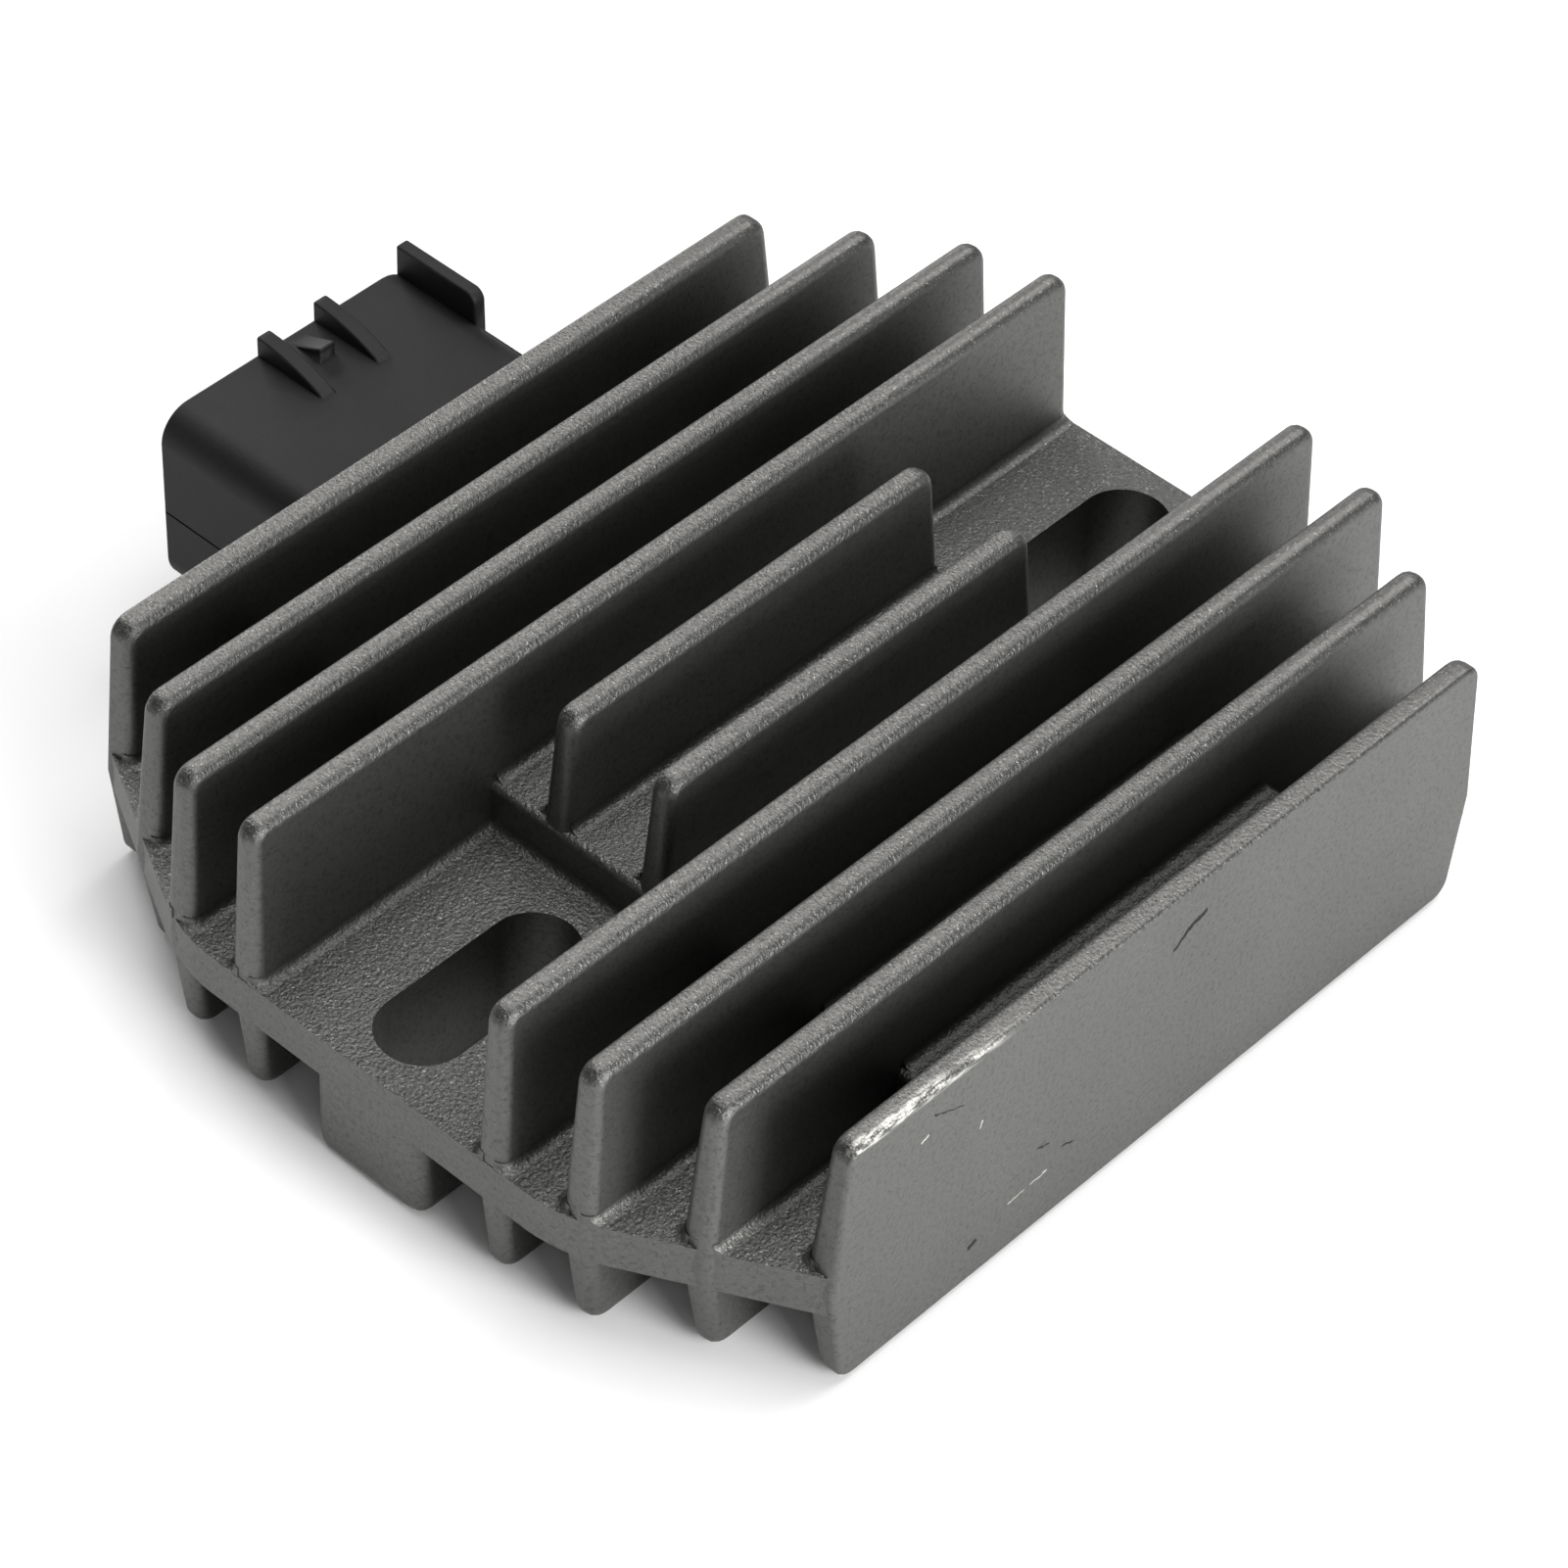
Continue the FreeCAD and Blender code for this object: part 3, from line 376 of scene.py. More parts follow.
    def grain(self, made: Surface, tone: Socket, up: Socket) -> Socket:
        """Strews dark flecks over the skin, and bright grains painted as glints.

        Args:
            made: The surface.
            tone: The colour below.
            up: How far a place faces up, where the painted glints are strongest.

        Returns:
            The colour.
        """
        mottle = made.add(Kind.NOISE, "mottle", {"Vector": made.place}, self.mottle.values())
        dark = made.add(Kind.RANGE, "fleck share", {0: mottle.outputs["Fac"]}, span(*self.fleck_share))
        links = {0: dark.outputs[0], 6: tone}
        flecked = made.add(Kind.MIX, "flecked", links, {7: self.fleck}, data_type="RGBA")
        # Bright grains painted as glints, strongest on faces that look up.
        glint_noise = made.add(Kind.NOISE, "grains", {"Vector": made.place}, self.glint_grain.values())
        bright = made.add(Kind.RANGE, "grain share", {0: glint_noise.outputs["Fac"]}, span(*self.glint_share))
        much = made.add(Kind.RANGE, "grains by facing", {0: up}, span(*self.glint_facing))
        links = {0: bright.outputs[0], 1: much.outputs[0]}
        amount = made.add(Kind.MATHS, "grain amount", links, operation="MULTIPLY")
        links = {0: amount.outputs[0], 6: flecked.outputs[2]}
        return made.add(Kind.MIX, "grained", links, {7: self.glint}, data_type="RGBA").outputs[2]

    @staticmethod
    def within(made: Surface, share: Socket, places: tuple[tuple[Socket, Range], ...]) -> Socket:
        """Holds a share to a place.

        Args:
            made: The surface.
            share: The share.
            places: Parts of the place, each with its range in millimetres.

        Returns:
            The share, less where a part is out of its range.
        """
        for part, values in places:
            held = made.add(Kind.RANGE, "within", {0: part}, span_mm(*values)).outputs[0]
            share = made.add(Kind.MATHS, "held share", {0: share, 1: held}, operation="MULTIPLY").outputs[0]
        return share

    def channel_shade(self, made: Surface, tone: Socket) -> Socket:
        """Darkens the bottom of the narrow channels with painted shade.

        Args:
            made: The surface.
            tone: The colour below.

        Returns:
            The colour.
        """
        across, along = (
            made.add(Kind.MATHS, "off the middle", {0: made.where[axis]}, operation="ABSOLUTE").outputs[0]
            for axis in "XY"
        )
        # Painted shade in the bottom of the narrow channels.
        share = made.add(Kind.RANGE, "low", {0: made.where["Z"]}, span_mm(*self.channel_floor)).outputs[0]
        places = ((across, self.channel_inner), (across, self.channel_outer), (along, self.channel_length))
        links = {0: self.within(made, share, places), 6: tone}
        return made.add(Kind.MIX, "channel_shade", links, {7: self.deep}, data_type="RGBA").outputs[2]

    def bare_edge(self, made: Surface, tone: Socket) -> Socket:
        """Wears the near part of the outermost upper edge to bare metal, in streaks along it.

        Args:
            made: The surface.
            tone: The colour below.

        Returns:
            The colour.
        """
        along = made.add(
            Kind.VECTOR_MATHS, "stretched", {0: made.place}, {1: self.stretch}, operation="MULTIPLY"
        )
        streak = made.add(Kind.NOISE, "streaks", {"Vector": along.outputs[0]}, self.streak.values())
        share = made.add(Kind.RANGE, "streak share", {0: streak.outputs["Fac"]}, span(*self.streak_share))
        parts = made.where
        places = ((parts["X"], self.edge_across), (parts["Z"], self.edge_high), (parts["Y"], self.edge_near))
        links = {0: self.within(made, share.outputs[0], places), 6: tone}
        return made.add(Kind.MIX, "bare edge", links, {7: self.bare}, data_type="RGBA").outputs[2]

    def marked(self, made: Surface, tone: Socket) -> Socket:
        """Draws the cracks and scratches of the flat outer face, with ragged edges.

        Args:
            made: The surface.
            tone: The colour below.

        Returns:
            The colour.
        """
        beside = made.add(Kind.RANGE, "outer face", {0: made.where["X"]}, span_mm(*self.outer_face))
        shake = made.add(Kind.NOISE, "shake", {"Vector": made.place}, self.shake.values())
        shaken = made.add(
            Kind.VECTOR_MATHS,
            "shaken place",
            {0: shake.outputs["Color"], 2: made.place},
            {1: (0.0, self.shift * MM, self.shift * MM)},
            operation="MULTIPLY_ADD",
        )
        middle = Vector((0, self.shift / 2, self.shift / 2)) * MM
        for mark in self.marks:
            start, end = (Vector((OUTER_FACE, *point)) * MM + middle for point in (mark.start, mark.end))
            length = (end - start).length
            way = (end - start) / length
            offset = made.add(
                Kind.VECTOR_MATHS, "from its start", {0: shaken.outputs[0]}, {1: start}, operation="SUBTRACT"
            ).outputs[0]
            run = made.add(Kind.VECTOR_MATHS, "along it", {0: offset}, {1: way}, operation="DOT_PRODUCT")
            ends = span(0.0, length, 0.0, length)
            held = made.add(Kind.RANGE, "held to it", {0: run.outputs["Value"]}, ends).outputs[0]
            foot = made.add(
                Kind.VECTOR_MATHS, "nearest point", {"Scale": held}, {0: way}, operation="SCALE"
            ).outputs[0]
            gap = made.add(Kind.VECTOR_MATHS, "gap", {0: offset, 1: foot}, operation="DISTANCE")
            fade = span_mm(mark.width / 2, mark.width, 1.0, 0.0)
            near = made.add(Kind.RANGE, "near it", {0: gap.outputs["Value"]}, fade)
            links = {0: near.outputs[0], 1: beside.outputs[0]}
            share = made.add(Kind.MATHS, "mark share", links, operation="MULTIPLY")
            links = {0: share.outputs[0], 6: tone}
            tone = made.add(Kind.MIX, "mark", links, {7: mark.colour}, data_type="RGBA").outputs[2]
        return tone

    def relief(self, made: Surface, up: Socket) -> Socket:
        """The blasted relief, deepest where a place faces up, and shallow at the far end.

        Args:
            made: The surface.
            up: How far a place faces up.

        Returns:
            The normal.
        """
        peel = made.add(Kind.NOISE, "peel", {"Vector": made.place}, self.peel.values())
        deep = self.peel_depth * MM
        depths = span(0.0, 1.0, deep * self.flank_depth, deep)
        depth = made.add(Kind.RANGE, "depth by facing", {0: up}, depths)
        far = made.add(Kind.RANGE, "far end", {0: made.where["Y"]}, span_mm(*self.far_end))
        links = {0: depth.outputs[0], 1: far.outputs[0]}
        held = made.add(Kind.MATHS, "depth", links, operation="MULTIPLY")
        links = {"Height": peel.outputs["Fac"], "Distance": held.outputs[0]}
        return made.add(Kind.BUMP, "peel relief", links, {"Strength": 1.0}).outputs["Normal"]


@dataclass(frozen=True)
class MouldedPlastic:
    """Glass-filled nylon, injection moulded in black: matte, with a faint grain and soft clouds.

    The etched skin scatters most of its sheen, and a fine parting line runs round it.
    """

    skin: str = "0a0a0b"
    pale: str = "121213"
    line: str = "010101"
    roughness: float = 0.6
    sheen: float = 0.3
    ior: float = 1.53
    cloud: Pattern = Pattern(8.0, 4.0, 0.6)
    cloud_share: Range = (0.45, 0.8)
    grain: Pattern = Pattern(0.35, 3.0)
    depth: float = 0.018
    parting: float = 13.1
    parting_width: float = 0.3

    def make(self) -> bpy.types.Material:
        """Makes the material.

        Returns:
            The material.
        """
        made = Surface("housing_plastic", self.skin, 0.0, self.roughness, self.ior)
        cloud = made.add(Kind.NOISE, "clouds", {"Vector": made.place}, self.cloud.values())
        share = made.add(Kind.RANGE, "cloud share", {0: cloud.outputs["Fac"]}, span(*self.cloud_share))
        skin = made.add(
            Kind.MIX, "skin", {0: share.outputs[0]}, {6: self.skin, 7: self.pale}, data_type="RGBA"
        )
        line = self.parting_share(made)
        links = {0: line, 6: skin.outputs[2]}
        lined = made.add(Kind.MIX, "parting line", links, {7: self.line}, data_type="RGBA")
        dull = made.add(Kind.RANGE, "dull line", {0: line}, span(0.0, 1.0, self.sheen, 0.0))
        made.feed("Specular IOR Level", dull.outputs[0])
        made.feed("Base Color", lined.outputs[2])
        made.roughen(self.grain, self.depth)
        return made.material

    def parting_share(self, made: Surface) -> Socket:
        """How much of the parting line a place holds.

        Args:
            made: The surface.

        Returns:
            The share.
        """
        height = {1: self.parting * MM}
        off = made.add(Kind.MATHS, "above it", {0: made.where["Z"]}, height, operation="SUBTRACT")
        gap = made.add(Kind.MATHS, "gap", {0: off.outputs[0]}, operation="ABSOLUTE")
        fade = span_mm(self.parting_width / 4, self.parting_width / 2, 1.0, 0.0)
        return made.add(Kind.RANGE, "parting share", {0: gap.outputs[0]}, fade).outputs[0]


@dataclass(frozen=True)
class PlainFinish:
    """A finish of one tone, with soft clouds of a second tone and a fine grain."""

    name: str
    skin: str
    cloudy: str
    metallic: float
    roughness: float
    ior: float = 1.45
    cloud: Pattern = Pattern(3.0, 3.0)
    grain: Pattern = Pattern(0.25, 2.0)
    depth: float = 0.008

    def make(self) -> bpy.types.Material:
        """Makes the material.

        Returns:
            The material.
        """
        made = Surface(self.name, self.skin, self.metallic, self.roughness, self.ior)
        made.feed("Base Color", made.clouded(self.cloud, self.skin, self.cloudy))
        made.roughen(self.grain, self.depth)
        return made.material


# Tin plate is bright and soft; alumina is fired off-white; solder mask lets the weave's green
# through; the potting resin is a smooth, nearly black epoxy.
TIN = PlainFinish("tinned_brass", "b9b8b2", "a9a8a1", 1.0, 0.32)
ALUMINA = PlainFinish("alumina", "e6e3da", "dcd9ce", 0.0, 0.5, 1.76)
MOULDED_EPOXY = PlainFinish("device_epoxy", "1f1f21", "29292b", 0.0, 0.5, 1.5)
LAMINATE = PlainFinish("board_laminate", "2f6b3f", "275c35", 0.0, 0.4, 1.5)
COPPER = PlainFinish("bus_copper", "b8734f", "a5643f", 1.0, 0.35)
SLEEVED_CAN = PlainFinish("capacitor_can", "2c3f6b", "26375e", 0.0, 0.4, 1.5)
RESIN = PlainFinish("potting_resin", "17181a", "202124", 0.0, 0.35, 1.55)
PALE_PAPER = PlainFinish(
    "studio_floor", "f4f4f4", "f2f2f2", 0.0, 0.9, 1.45, Pattern(300.0, 3.0), Pattern(4.0, 2.0), 0.001
)


def crosses(edge: Edge, axis: int) -> bool:
    """True for an edge that runs along one axis."""
    way = (edge.verts[1].co - edge.verts[0].co).normalized()
    return abs(way[axis]) > 1 - NEAR


def round_edges(
    mesh: Mesh, parts: list, radius: float, segments: int, flat: bool = False, clamped: bool = True
) -> None:
    """Rounds edges, or the corners of a flat outline, with a bevel.

    Args:
        mesh: The mesh that is changed.
        parts: The edges, or the vertices at the corners.
        radius: How far the bevel reaches, in millimetres.
        segments: How many faces it has.
        flat: Whether these are corners of a flat outline.
        clamped: Whether short edges hold it back.
    """
    bmesh.ops.bevel(
        mesh,
        geom=parts,
        offset=radius,
        offset_type="OFFSET",
        segments=segments,
        profile=0.5,
        affect="VERTICES" if flat else "EDGES",
        clamp_overlap=clamped,
        material=-1,
    )


def cut(mesh: Mesh, place: tuple | Vector, way: tuple | Vector, cleared: bool = False) -> list[Edge]:
    """Cuts a mesh with a plane.

    Args:
        mesh: The mesh that is changed.
        place: A point of the plane.
        way: The way that the plane faces.
        cleared: Whether what lies that way is taken off.

    Returns:
        The edges in the plane.
    """
    everything = mesh.verts[:] + mesh.edges[:] + mesh.faces[:]
    found = bmesh.ops.bisect_plane(
        mesh, geom=everything, dist=NEAR, plane_co=place, plane_no=way, clear_outer=cleared
    )
    return [item for item in found["geom_cut"] if isinstance(item, Edge)]


def extrude(mesh: Mesh, way: tuple | Vector) -> None:
    """Draws flat faces out to a block, and turns all its faces outwards.

    Args:
        mesh: The mesh that is changed.
        way: How far it is drawn, and which way.
    """
    grown = bmesh.ops.extrude_face_region(mesh, geom=mesh.faces[:])
    moved = [item for item in grown["geom"] if isinstance(item, Vertex)]
    bmesh.ops.translate(mesh, verts=moved, vec=way)
    bmesh.ops.recalc_face_normals(mesh, faces=mesh.faces)


def outlined(mesh: Mesh, corners: list[tuple[float, float]]) -> list[Vertex]:
    """Draws a closed outline of straight edges, at the height 0.

    Args:
        mesh: The mesh that it is added to.
        corners: Its corners in order.

    Returns:
        The vertices of the corners.
    """
    drawn = [mesh.verts.new((across, along, 0)) for across, along in corners]
    for start, end in zip(drawn, drawn[1:] + drawn[:1]):
        mesh.edges.new((start, end))
    return drawn


@dataclass
class Fin:
    """One fin: where it stands, how high it is, and where its ends are at the tip and at the plate."""

    across: float
    top: float
    tip_end: float
    foot_end: float
    low: float = 0.3
    short: bool = False
    outermost: bool = False
    tip: float = 2.4
    root: float = 3.4
    waist: float = 11.3
    sunk_to: float = 16.2
    end_radius: float = 1.7
    edge_radius: float = 1.05
    outer_radius: float = 0.5

    def thickness(self, height: float) -> float:
        """How thick the fin is at a height."""
        reach = self.top - self.waist if height > self.waist else self.waist - self.low
        return self.root - (self.root - self.tip) * abs(height - self.waist) / reach

    def end(self, height: float) -> float:
        """Where the fin ends, from the middle, at a height above the waist."""
        share = (height - self.waist) / (self.top - self.waist)
        return self.foot_end - (self.foot_end - self.tip_end) * share

    def sides(self, height: float) -> tuple[float, float]:
        """Where the two flanks are at a height, the inner one first.

        Args:
            height: The height.

        Returns:
            The place of each, across the fins.
        """
        thick = self.thickness(height)
        if self.outermost:
            return (OUTER_FACE - thick, OUTER_FACE)
        return (self.across - thick / 2, self.across + thick / 2)

    def make(self) -> Mesh:
        """Makes the fin on the +X side.

        Returns:
            The mesh of the fin, in millimetres.
        """
        mesh = bmesh.new()
        bmesh.ops.create_cube(mesh, size=2)
        cut(mesh, (0, 0, 0), (0, 0, 1))
        low = self.sunk_to if self.short else self.low
        levels = {-1: (low, self.tip_end), 0: (self.waist, self.foot_end), 1: (self.top, self.tip_end)}
        if self.short:
            levels[-1] = (low, self.foot_end)
            levels[0] = (RAISED_FLOOR, self.foot_end)
        for vertex in mesh.verts:
            height, end = levels[round(vertex.co.z)]
            inner, outer = self.sides(height)
            across = outer if vertex.co.x > 0 else inner
            vertex.co = Vector((across, math.copysign(end, vertex.co.y), height))
        ends = (self.top,) if self.short else (self.top, self.low)
        corners = [
            edge
            for edge in mesh.edges
            if crosses(edge, 0) and any(abs(edge.verts[0].co.z - height) < NEAR for height in ends)
        ]
        round_edges(mesh, corners, self.end_radius, segments=5)
        self.round_flanks(mesh)
        return mesh

    def round_flanks(self, mesh: Mesh) -> None:
        """Rounds the outline of both flanks; the flat outer face of an outermost fin less so.

        Args:
            mesh: The mesh that is changed.
        """
        mesh.normal_update()
        outer = self.outer_radius if self.outermost else self.edge_radius
        for sign, radius in ((-1, self.edge_radius), (1, outer)):
            outline = []
            for edge in mesh.edges:
                flat = [face.normal.x * sign > SIDEWAYS for face in edge.link_faces]
                if flat.count(True) == 1 and not self.sunk(edge):
                    outline.append(edge)
            round_edges(mesh, outline, radius, segments=4)
            mesh.normal_update()

    def sunk(self, edge: Edge) -> bool:
        """True for the lower edge of a short fin, inside the raised floor."""
        return self.short and all(vertex.co.z < self.sunk_to + NEAR for vertex in edge.verts)


@dataclass
class Casting:
    """The finned casting: base plate, raised floor, feet, potting box and fins, in millimetres.

    A fillet lies fillet_in inside its wall and fillet_under below its floor, so that they meet, and
    its wall is taken where it stands fillet_level above the floor.
    """

    length: float = 100.0
    width: float = 2 * OUTER_FACE
    flush: float = 0.04
    under: float = 9.1
    floor: float = 13.5
    corner_across: float = 19.9
    corner_along: float = 10.6
    corner_radius: float = 15.0
    rim: float = 0.3
    raised: float = RAISED_FLOOR
    raised_length: float = 46.2
    raised_width: float = 80.6
    step_radius: float = 0.7
    ceiling: float = 15.2
    slot_place: float = 37.0
    slot_length: float = 20.8
    slot_width: float = 8.4
    slot_segments: int = 32
    slot_margin: float = 1.0
    foot_width: float = 12.6
    foot_inner: float = 24.2
    foot_outer: float = 49.9
    foot_radius: float = 1.5
    box_width: float = 81.6
    box_length: float = 47.2
    box_low: float = 0.8
    cavity_width: float = 75.0
    cavity_length: float = 42.8
    cavity_radius: float = 2.0
    fillet: float = 0.9
    fillet_in: float = 0.3
    fillet_under: float = 0.2
    fillet_level: float = 0.2
    fins: tuple[Fin, ...] = (
        Fin(5.45, 30.3, 21.8, 22.9, short=True),
        Fin(14.17, 30.5, 49.1, 49.99),
        Fin(22.89, 29.5, 48.0, 49.2),
        Fin(31.61, 28.6, 43.2, 44.9),
        Fin(40.3, 27.6, 38.5, 39.9, outermost=True),
    )

    def make(self, material: bpy.types.Material) -> bpy.types.Object:
        """Makes the casting and puts it in its node's place.

        Args:
            material: Its finish.

        Returns:
            The piece.
        """
        parts = [self.plate(), self.raised_floor(), self.wall(self.box_length, self.box_low, self.under)]
        parts.append(self.wall(self.raised_length, self.under, self.ceiling))
        parts += [self.foot(1), self.foot(-1)]
        for fin in self.fins:
            shape = fin.make() if fin.short or fin.outermost else self.opened(fin.make(), fin.sunk_to)
            parts += [shape, self.turned(shape.copy())]
            for strip in self.fillets(fin):
                parts += [strip, self.turned(strip.copy())]
        parts += self.step_fillets()
        piece = joined("casting", parts, material)
        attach(piece, "root")
        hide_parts("heat_sink")
        return piece

    @staticmethod
    def turned(mesh: Mesh) -> Mesh:
        """The same shape half a turn round the middle, on the other side."""
        bmesh.ops.rotate(mesh, verts=mesh.verts, cent=(0, 0, 0), matrix=Matrix.Rotation(math.pi, 3, "Z"))
        return mesh

    def slot(self, mesh: Mesh, side: int) -> None:
        """Draws one slot's outline.

        Args:
            mesh: The mesh that it is added to.
            side: 1 for the far slot, -1 for the near one.
        """
        turn = Matrix.Rotation(math.pi / self.slot_segments, 4, "Z")
        drawn = bmesh.ops.create_circle(
            mesh, segments=self.slot_segments, radius=self.slot_width / 2, matrix=turn
        )
        reach = (self.slot_length - self.slot_width) / 2
        for vertex in drawn["verts"]:
            vertex.co.y += side * self.slot_place + math.copysign(reach, vertex.co.y)

    def rectangle(self, mesh: Mesh, wide: float, low: float, high: float, radius: float = 0.0) -> None:
        """Draws a rectangle about the middle line, with rounded corners where a radius is given.

        Args:
            mesh: The mesh that it is added to.
            wide: Its width across the fins.
            low: Its near end.
            high: Its far end.
            radius: The radius of its corners.
        """
        half = wide / 2
        drawn = outlined(mesh, [(-half, low), (half, low), (half, high), (-half, high)])
        if radius:
            round_edges(mesh, drawn, radius, segments=6, flat=True)

    def opening(self, mesh: Mesh) -> None:
        """Draws the opening of the potting box."""
        half = self.cavity_length / 2
        self.rectangle(mesh, self.cavity_width, -half, half, self.cavity_radius)

    @staticmethod
    def raise_outline(mesh: Mesh, low: float, high: float) -> None:
        """Fills a flat outline round its holes and draws it up to a block.

        Args:
            mesh: The mesh of the outline.
            low: The block's underside.
            high: The block's top.
        """
        bmesh.ops.triangle_fill(
            mesh, use_beauty=True, use_dissolve=False, edges=mesh.edges, normal=(0, 0, 1)
        )
        bmesh.ops.translate(mesh, verts=mesh.verts, vec=(0, 0, low))
        extrude(mesh, (0, 0, high - low))

    def plate(self) -> Mesh:
        """The base plate with its cut corners, its slots and the opening of the potting box.

        Returns:
            The mesh.
        """
        mesh = bmesh.new()
        side, end = self.width / 2 - self.flush, self.length / 2 - self.flush
        cut_x, cut_y = self.width / 2 - self.corner_across, end - self.corner_along
        quarter = [(side, cut_y), (cut_x, end)]
        half = quarter + [(-x, y) for x, y in reversed(quarter)]
        drawn = outlined(mesh, half + [(-x, -y) for x, y in half])
        turn = math.atan2(self.corner_along, self.corner_across)
        eased = self.corner_radius * math.tan(turn / 2)
        ends = [vertex for vertex in drawn if abs(vertex.co.x) < side - NEAR]
        round_edges(mesh, ends, eased, segments=6, flat=True)
        self.slot(mesh, 1)
        self.slot(mesh, -1)
        self.opening(mesh)
        self.raise_outline(mesh, self.under, self.floor)
        mesh.normal_update()
        past_slots = self.slot_place + self.slot_length / 2 + self.slot_margin
        past_box = self.cavity_width / 2 + self.slot_margin
        rims = []
        for edge in mesh.edges:
            ups = sorted(abs(face.normal.z) for face in edge.link_faces)
            middle = (edge.verts[0].co + edge.verts[1].co) / 2
            outside = abs(middle.y) > past_slots or abs(middle.x) > past_box
            if ups[0] < UPRIGHT and ups[1] > LEVEL and outside and abs(middle.x) < side - NEAR:
                rims.append(edge)
        round_edges(mesh, rims, self.rim, segments=2)
        return mesh

    def raised_floor(self) -> Mesh:
        """The raised middle of the floor, with a rounded step at each end.

        Returns:
            The mesh.
        """
        mesh = bmesh.new()
        size = (self.raised_width, self.raised_length, self.raised - self.ceiling)
        place = Matrix.Translation((0, 0, (self.raised + self.ceiling) / 2))
        bmesh.ops.create_cube(mesh, size=1, matrix=place @ Matrix.Diagonal((*size, 1)))
        steps = [edge for edge in mesh.edges if crosses(edge, 0) and edge.verts[0].co.z > self.raised - NEAR]
        round_edges(mesh, steps, self.step_radius, segments=4)
        return mesh

    def wall(self, length: float, low: float, high: float) -> Mesh:
        """The wall round the potting box between two heights.

        Args:
            length: Its outer length along the fins.
            low: Its underside.
            high: Its top.

        Returns:
            The mesh.
        """
        mesh = bmesh.new()
        wide = self.box_width if low < self.under else self.raised_width
        self.rectangle(mesh, wide, -length / 2, length / 2)
        self.opening(mesh)
        self.raise_outline(mesh, low, high)
        return mesh

    def opened(self, mesh: Mesh, level: float) -> Mesh:
        """Takes the part of a fin that would cross the potting box out of it.

        Args:
            mesh: The fin's mesh.
            level: The height below which nothing crosses the box.

        Returns:
            The same mesh.
        """
        half = self.cavity_length / 2
        planes = (((0, half, 0), (0, 1, 0)), ((0, -half, 0), (0, 1, 0)), ((0, 0, level), (0, 0, 1)))
        for place, way in planes:
            cut(mesh, place, way)
        gone = []
        for face in mesh.faces:
            middle = face.calc_center_median()
            if abs(middle.y) < half and middle.z < level:
                gone.append(face)
        bmesh.ops.delete(mesh, geom=gone, context="FACES")
        rim = [edge for edge in mesh.edges if edge.is_boundary]
        roof = [edge for edge in rim if all(abs(vertex.co.z - level) < NEAR for vertex in edge.verts)]
        for end in (-half, half):
            on_side = [edge for edge in rim if all(abs(vertex.co.y - end) < NEAR for vertex in edge.verts)]
            top = {vertex for edge in on_side for vertex in edge.verts if abs(vertex.co.z - level) < NEAR}
            across = bmesh.ops.contextual_create(mesh, geom=list(top))["edges"]
            bmesh.ops.edgenet_fill(mesh, edges=on_side + across)
            roof += across
        bmesh.ops.edgenet_fill(mesh, edges=roof)
        bmesh.ops.recalc_face_normals(mesh, faces=mesh.faces)
        return mesh

    def foot(self, side: int) -> Mesh:
        """One foot with its slot.

        Args:
            side: 1 for the far foot, -1 for the near one.

        Returns:
            The mesh.
        """
        mesh = bmesh.new()
        ends = sorted((side * self.foot_inner, side * self.foot_outer))
        self.rectangle(mesh, self.foot_width, ends[0], ends[1])
        self.slot(mesh, side)
        self.raise_outline(mesh, 0.0, self.under)
        outer = side * self.foot_outer
        corners = [edge for edge in mesh.edges if self.on_foot_outline(edge, outer)]
        round_edges(mesh, corners, self.foot_radius, segments=4)
        return mesh

    def on_foot_outline(self, edge: Edge, outer: float) -> bool:
        """True for a lower edge of a foot and for the upright edges of its outer end.

        Args:
            edge: The edge.
            outer: Where the outer end is.

        Returns:
            Whether it is rounded.
        """
        ends = [vertex.co for vertex in edge.verts]
        half = self.foot_width / 2
        outside = [abs(abs(co.x) - half) < NEAR or abs(co.y - outer) < NEAR for co in ends]
        if not all(outside) or crosses(edge, 0) and abs(ends[0].y - outer) > NEAR:
            return False
        if crosses(edge, 2):
            return abs(ends[0].y - outer) < NEAR
        return (crosses(edge, 0) or crosses(edge, 1)) and all(co.z < NEAR for co in ends)

    def rim_planes(self) -> list[tuple[Vector, Vector]]:
        """The planes of the plate's rim at its ends, its cut corners and the roundings between them.

        Returns:
            For each plane the way that it faces and a point of it.
        """
        planes = []
        end = self.length / 2 - self.flush
        turn = math.atan2(self.corner_along, self.corner_across)
        sunk = self.corner_radius * (1 / math.cos(turn / 2) - 1)
        for side in (-1, 1):
            ahead = Vector((0, side, 0))
            planes.append((ahead, ahead * end))
            for across in (-1, 1):
                corner = Vector((across * (self.width / 2 - self.corner_across), side * end, 0))
                slant = Vector((across * math.sin(turn), side * math.cos(turn), 0))
                between = (slant + ahead).normalized()
                planes += [(slant, corner), (between, corner - between * sunk)]
        return planes

    def trimmed(self, mesh: Mesh) -> Mesh:
        """Cuts a strip off where the plate's rim is, at its ends and at its cut corners.

        Args:
            mesh: The strip's mesh.

        Returns:
            The same mesh.
        """
        for way, place in self.rim_planes():
            rim = cut(mesh, place, way, cleared=True)
            if rim:
                bmesh.ops.holes_fill(mesh, edges=rim, sides=0)
        bmesh.ops.recalc_face_normals(mesh, faces=mesh.faces)
        return mesh

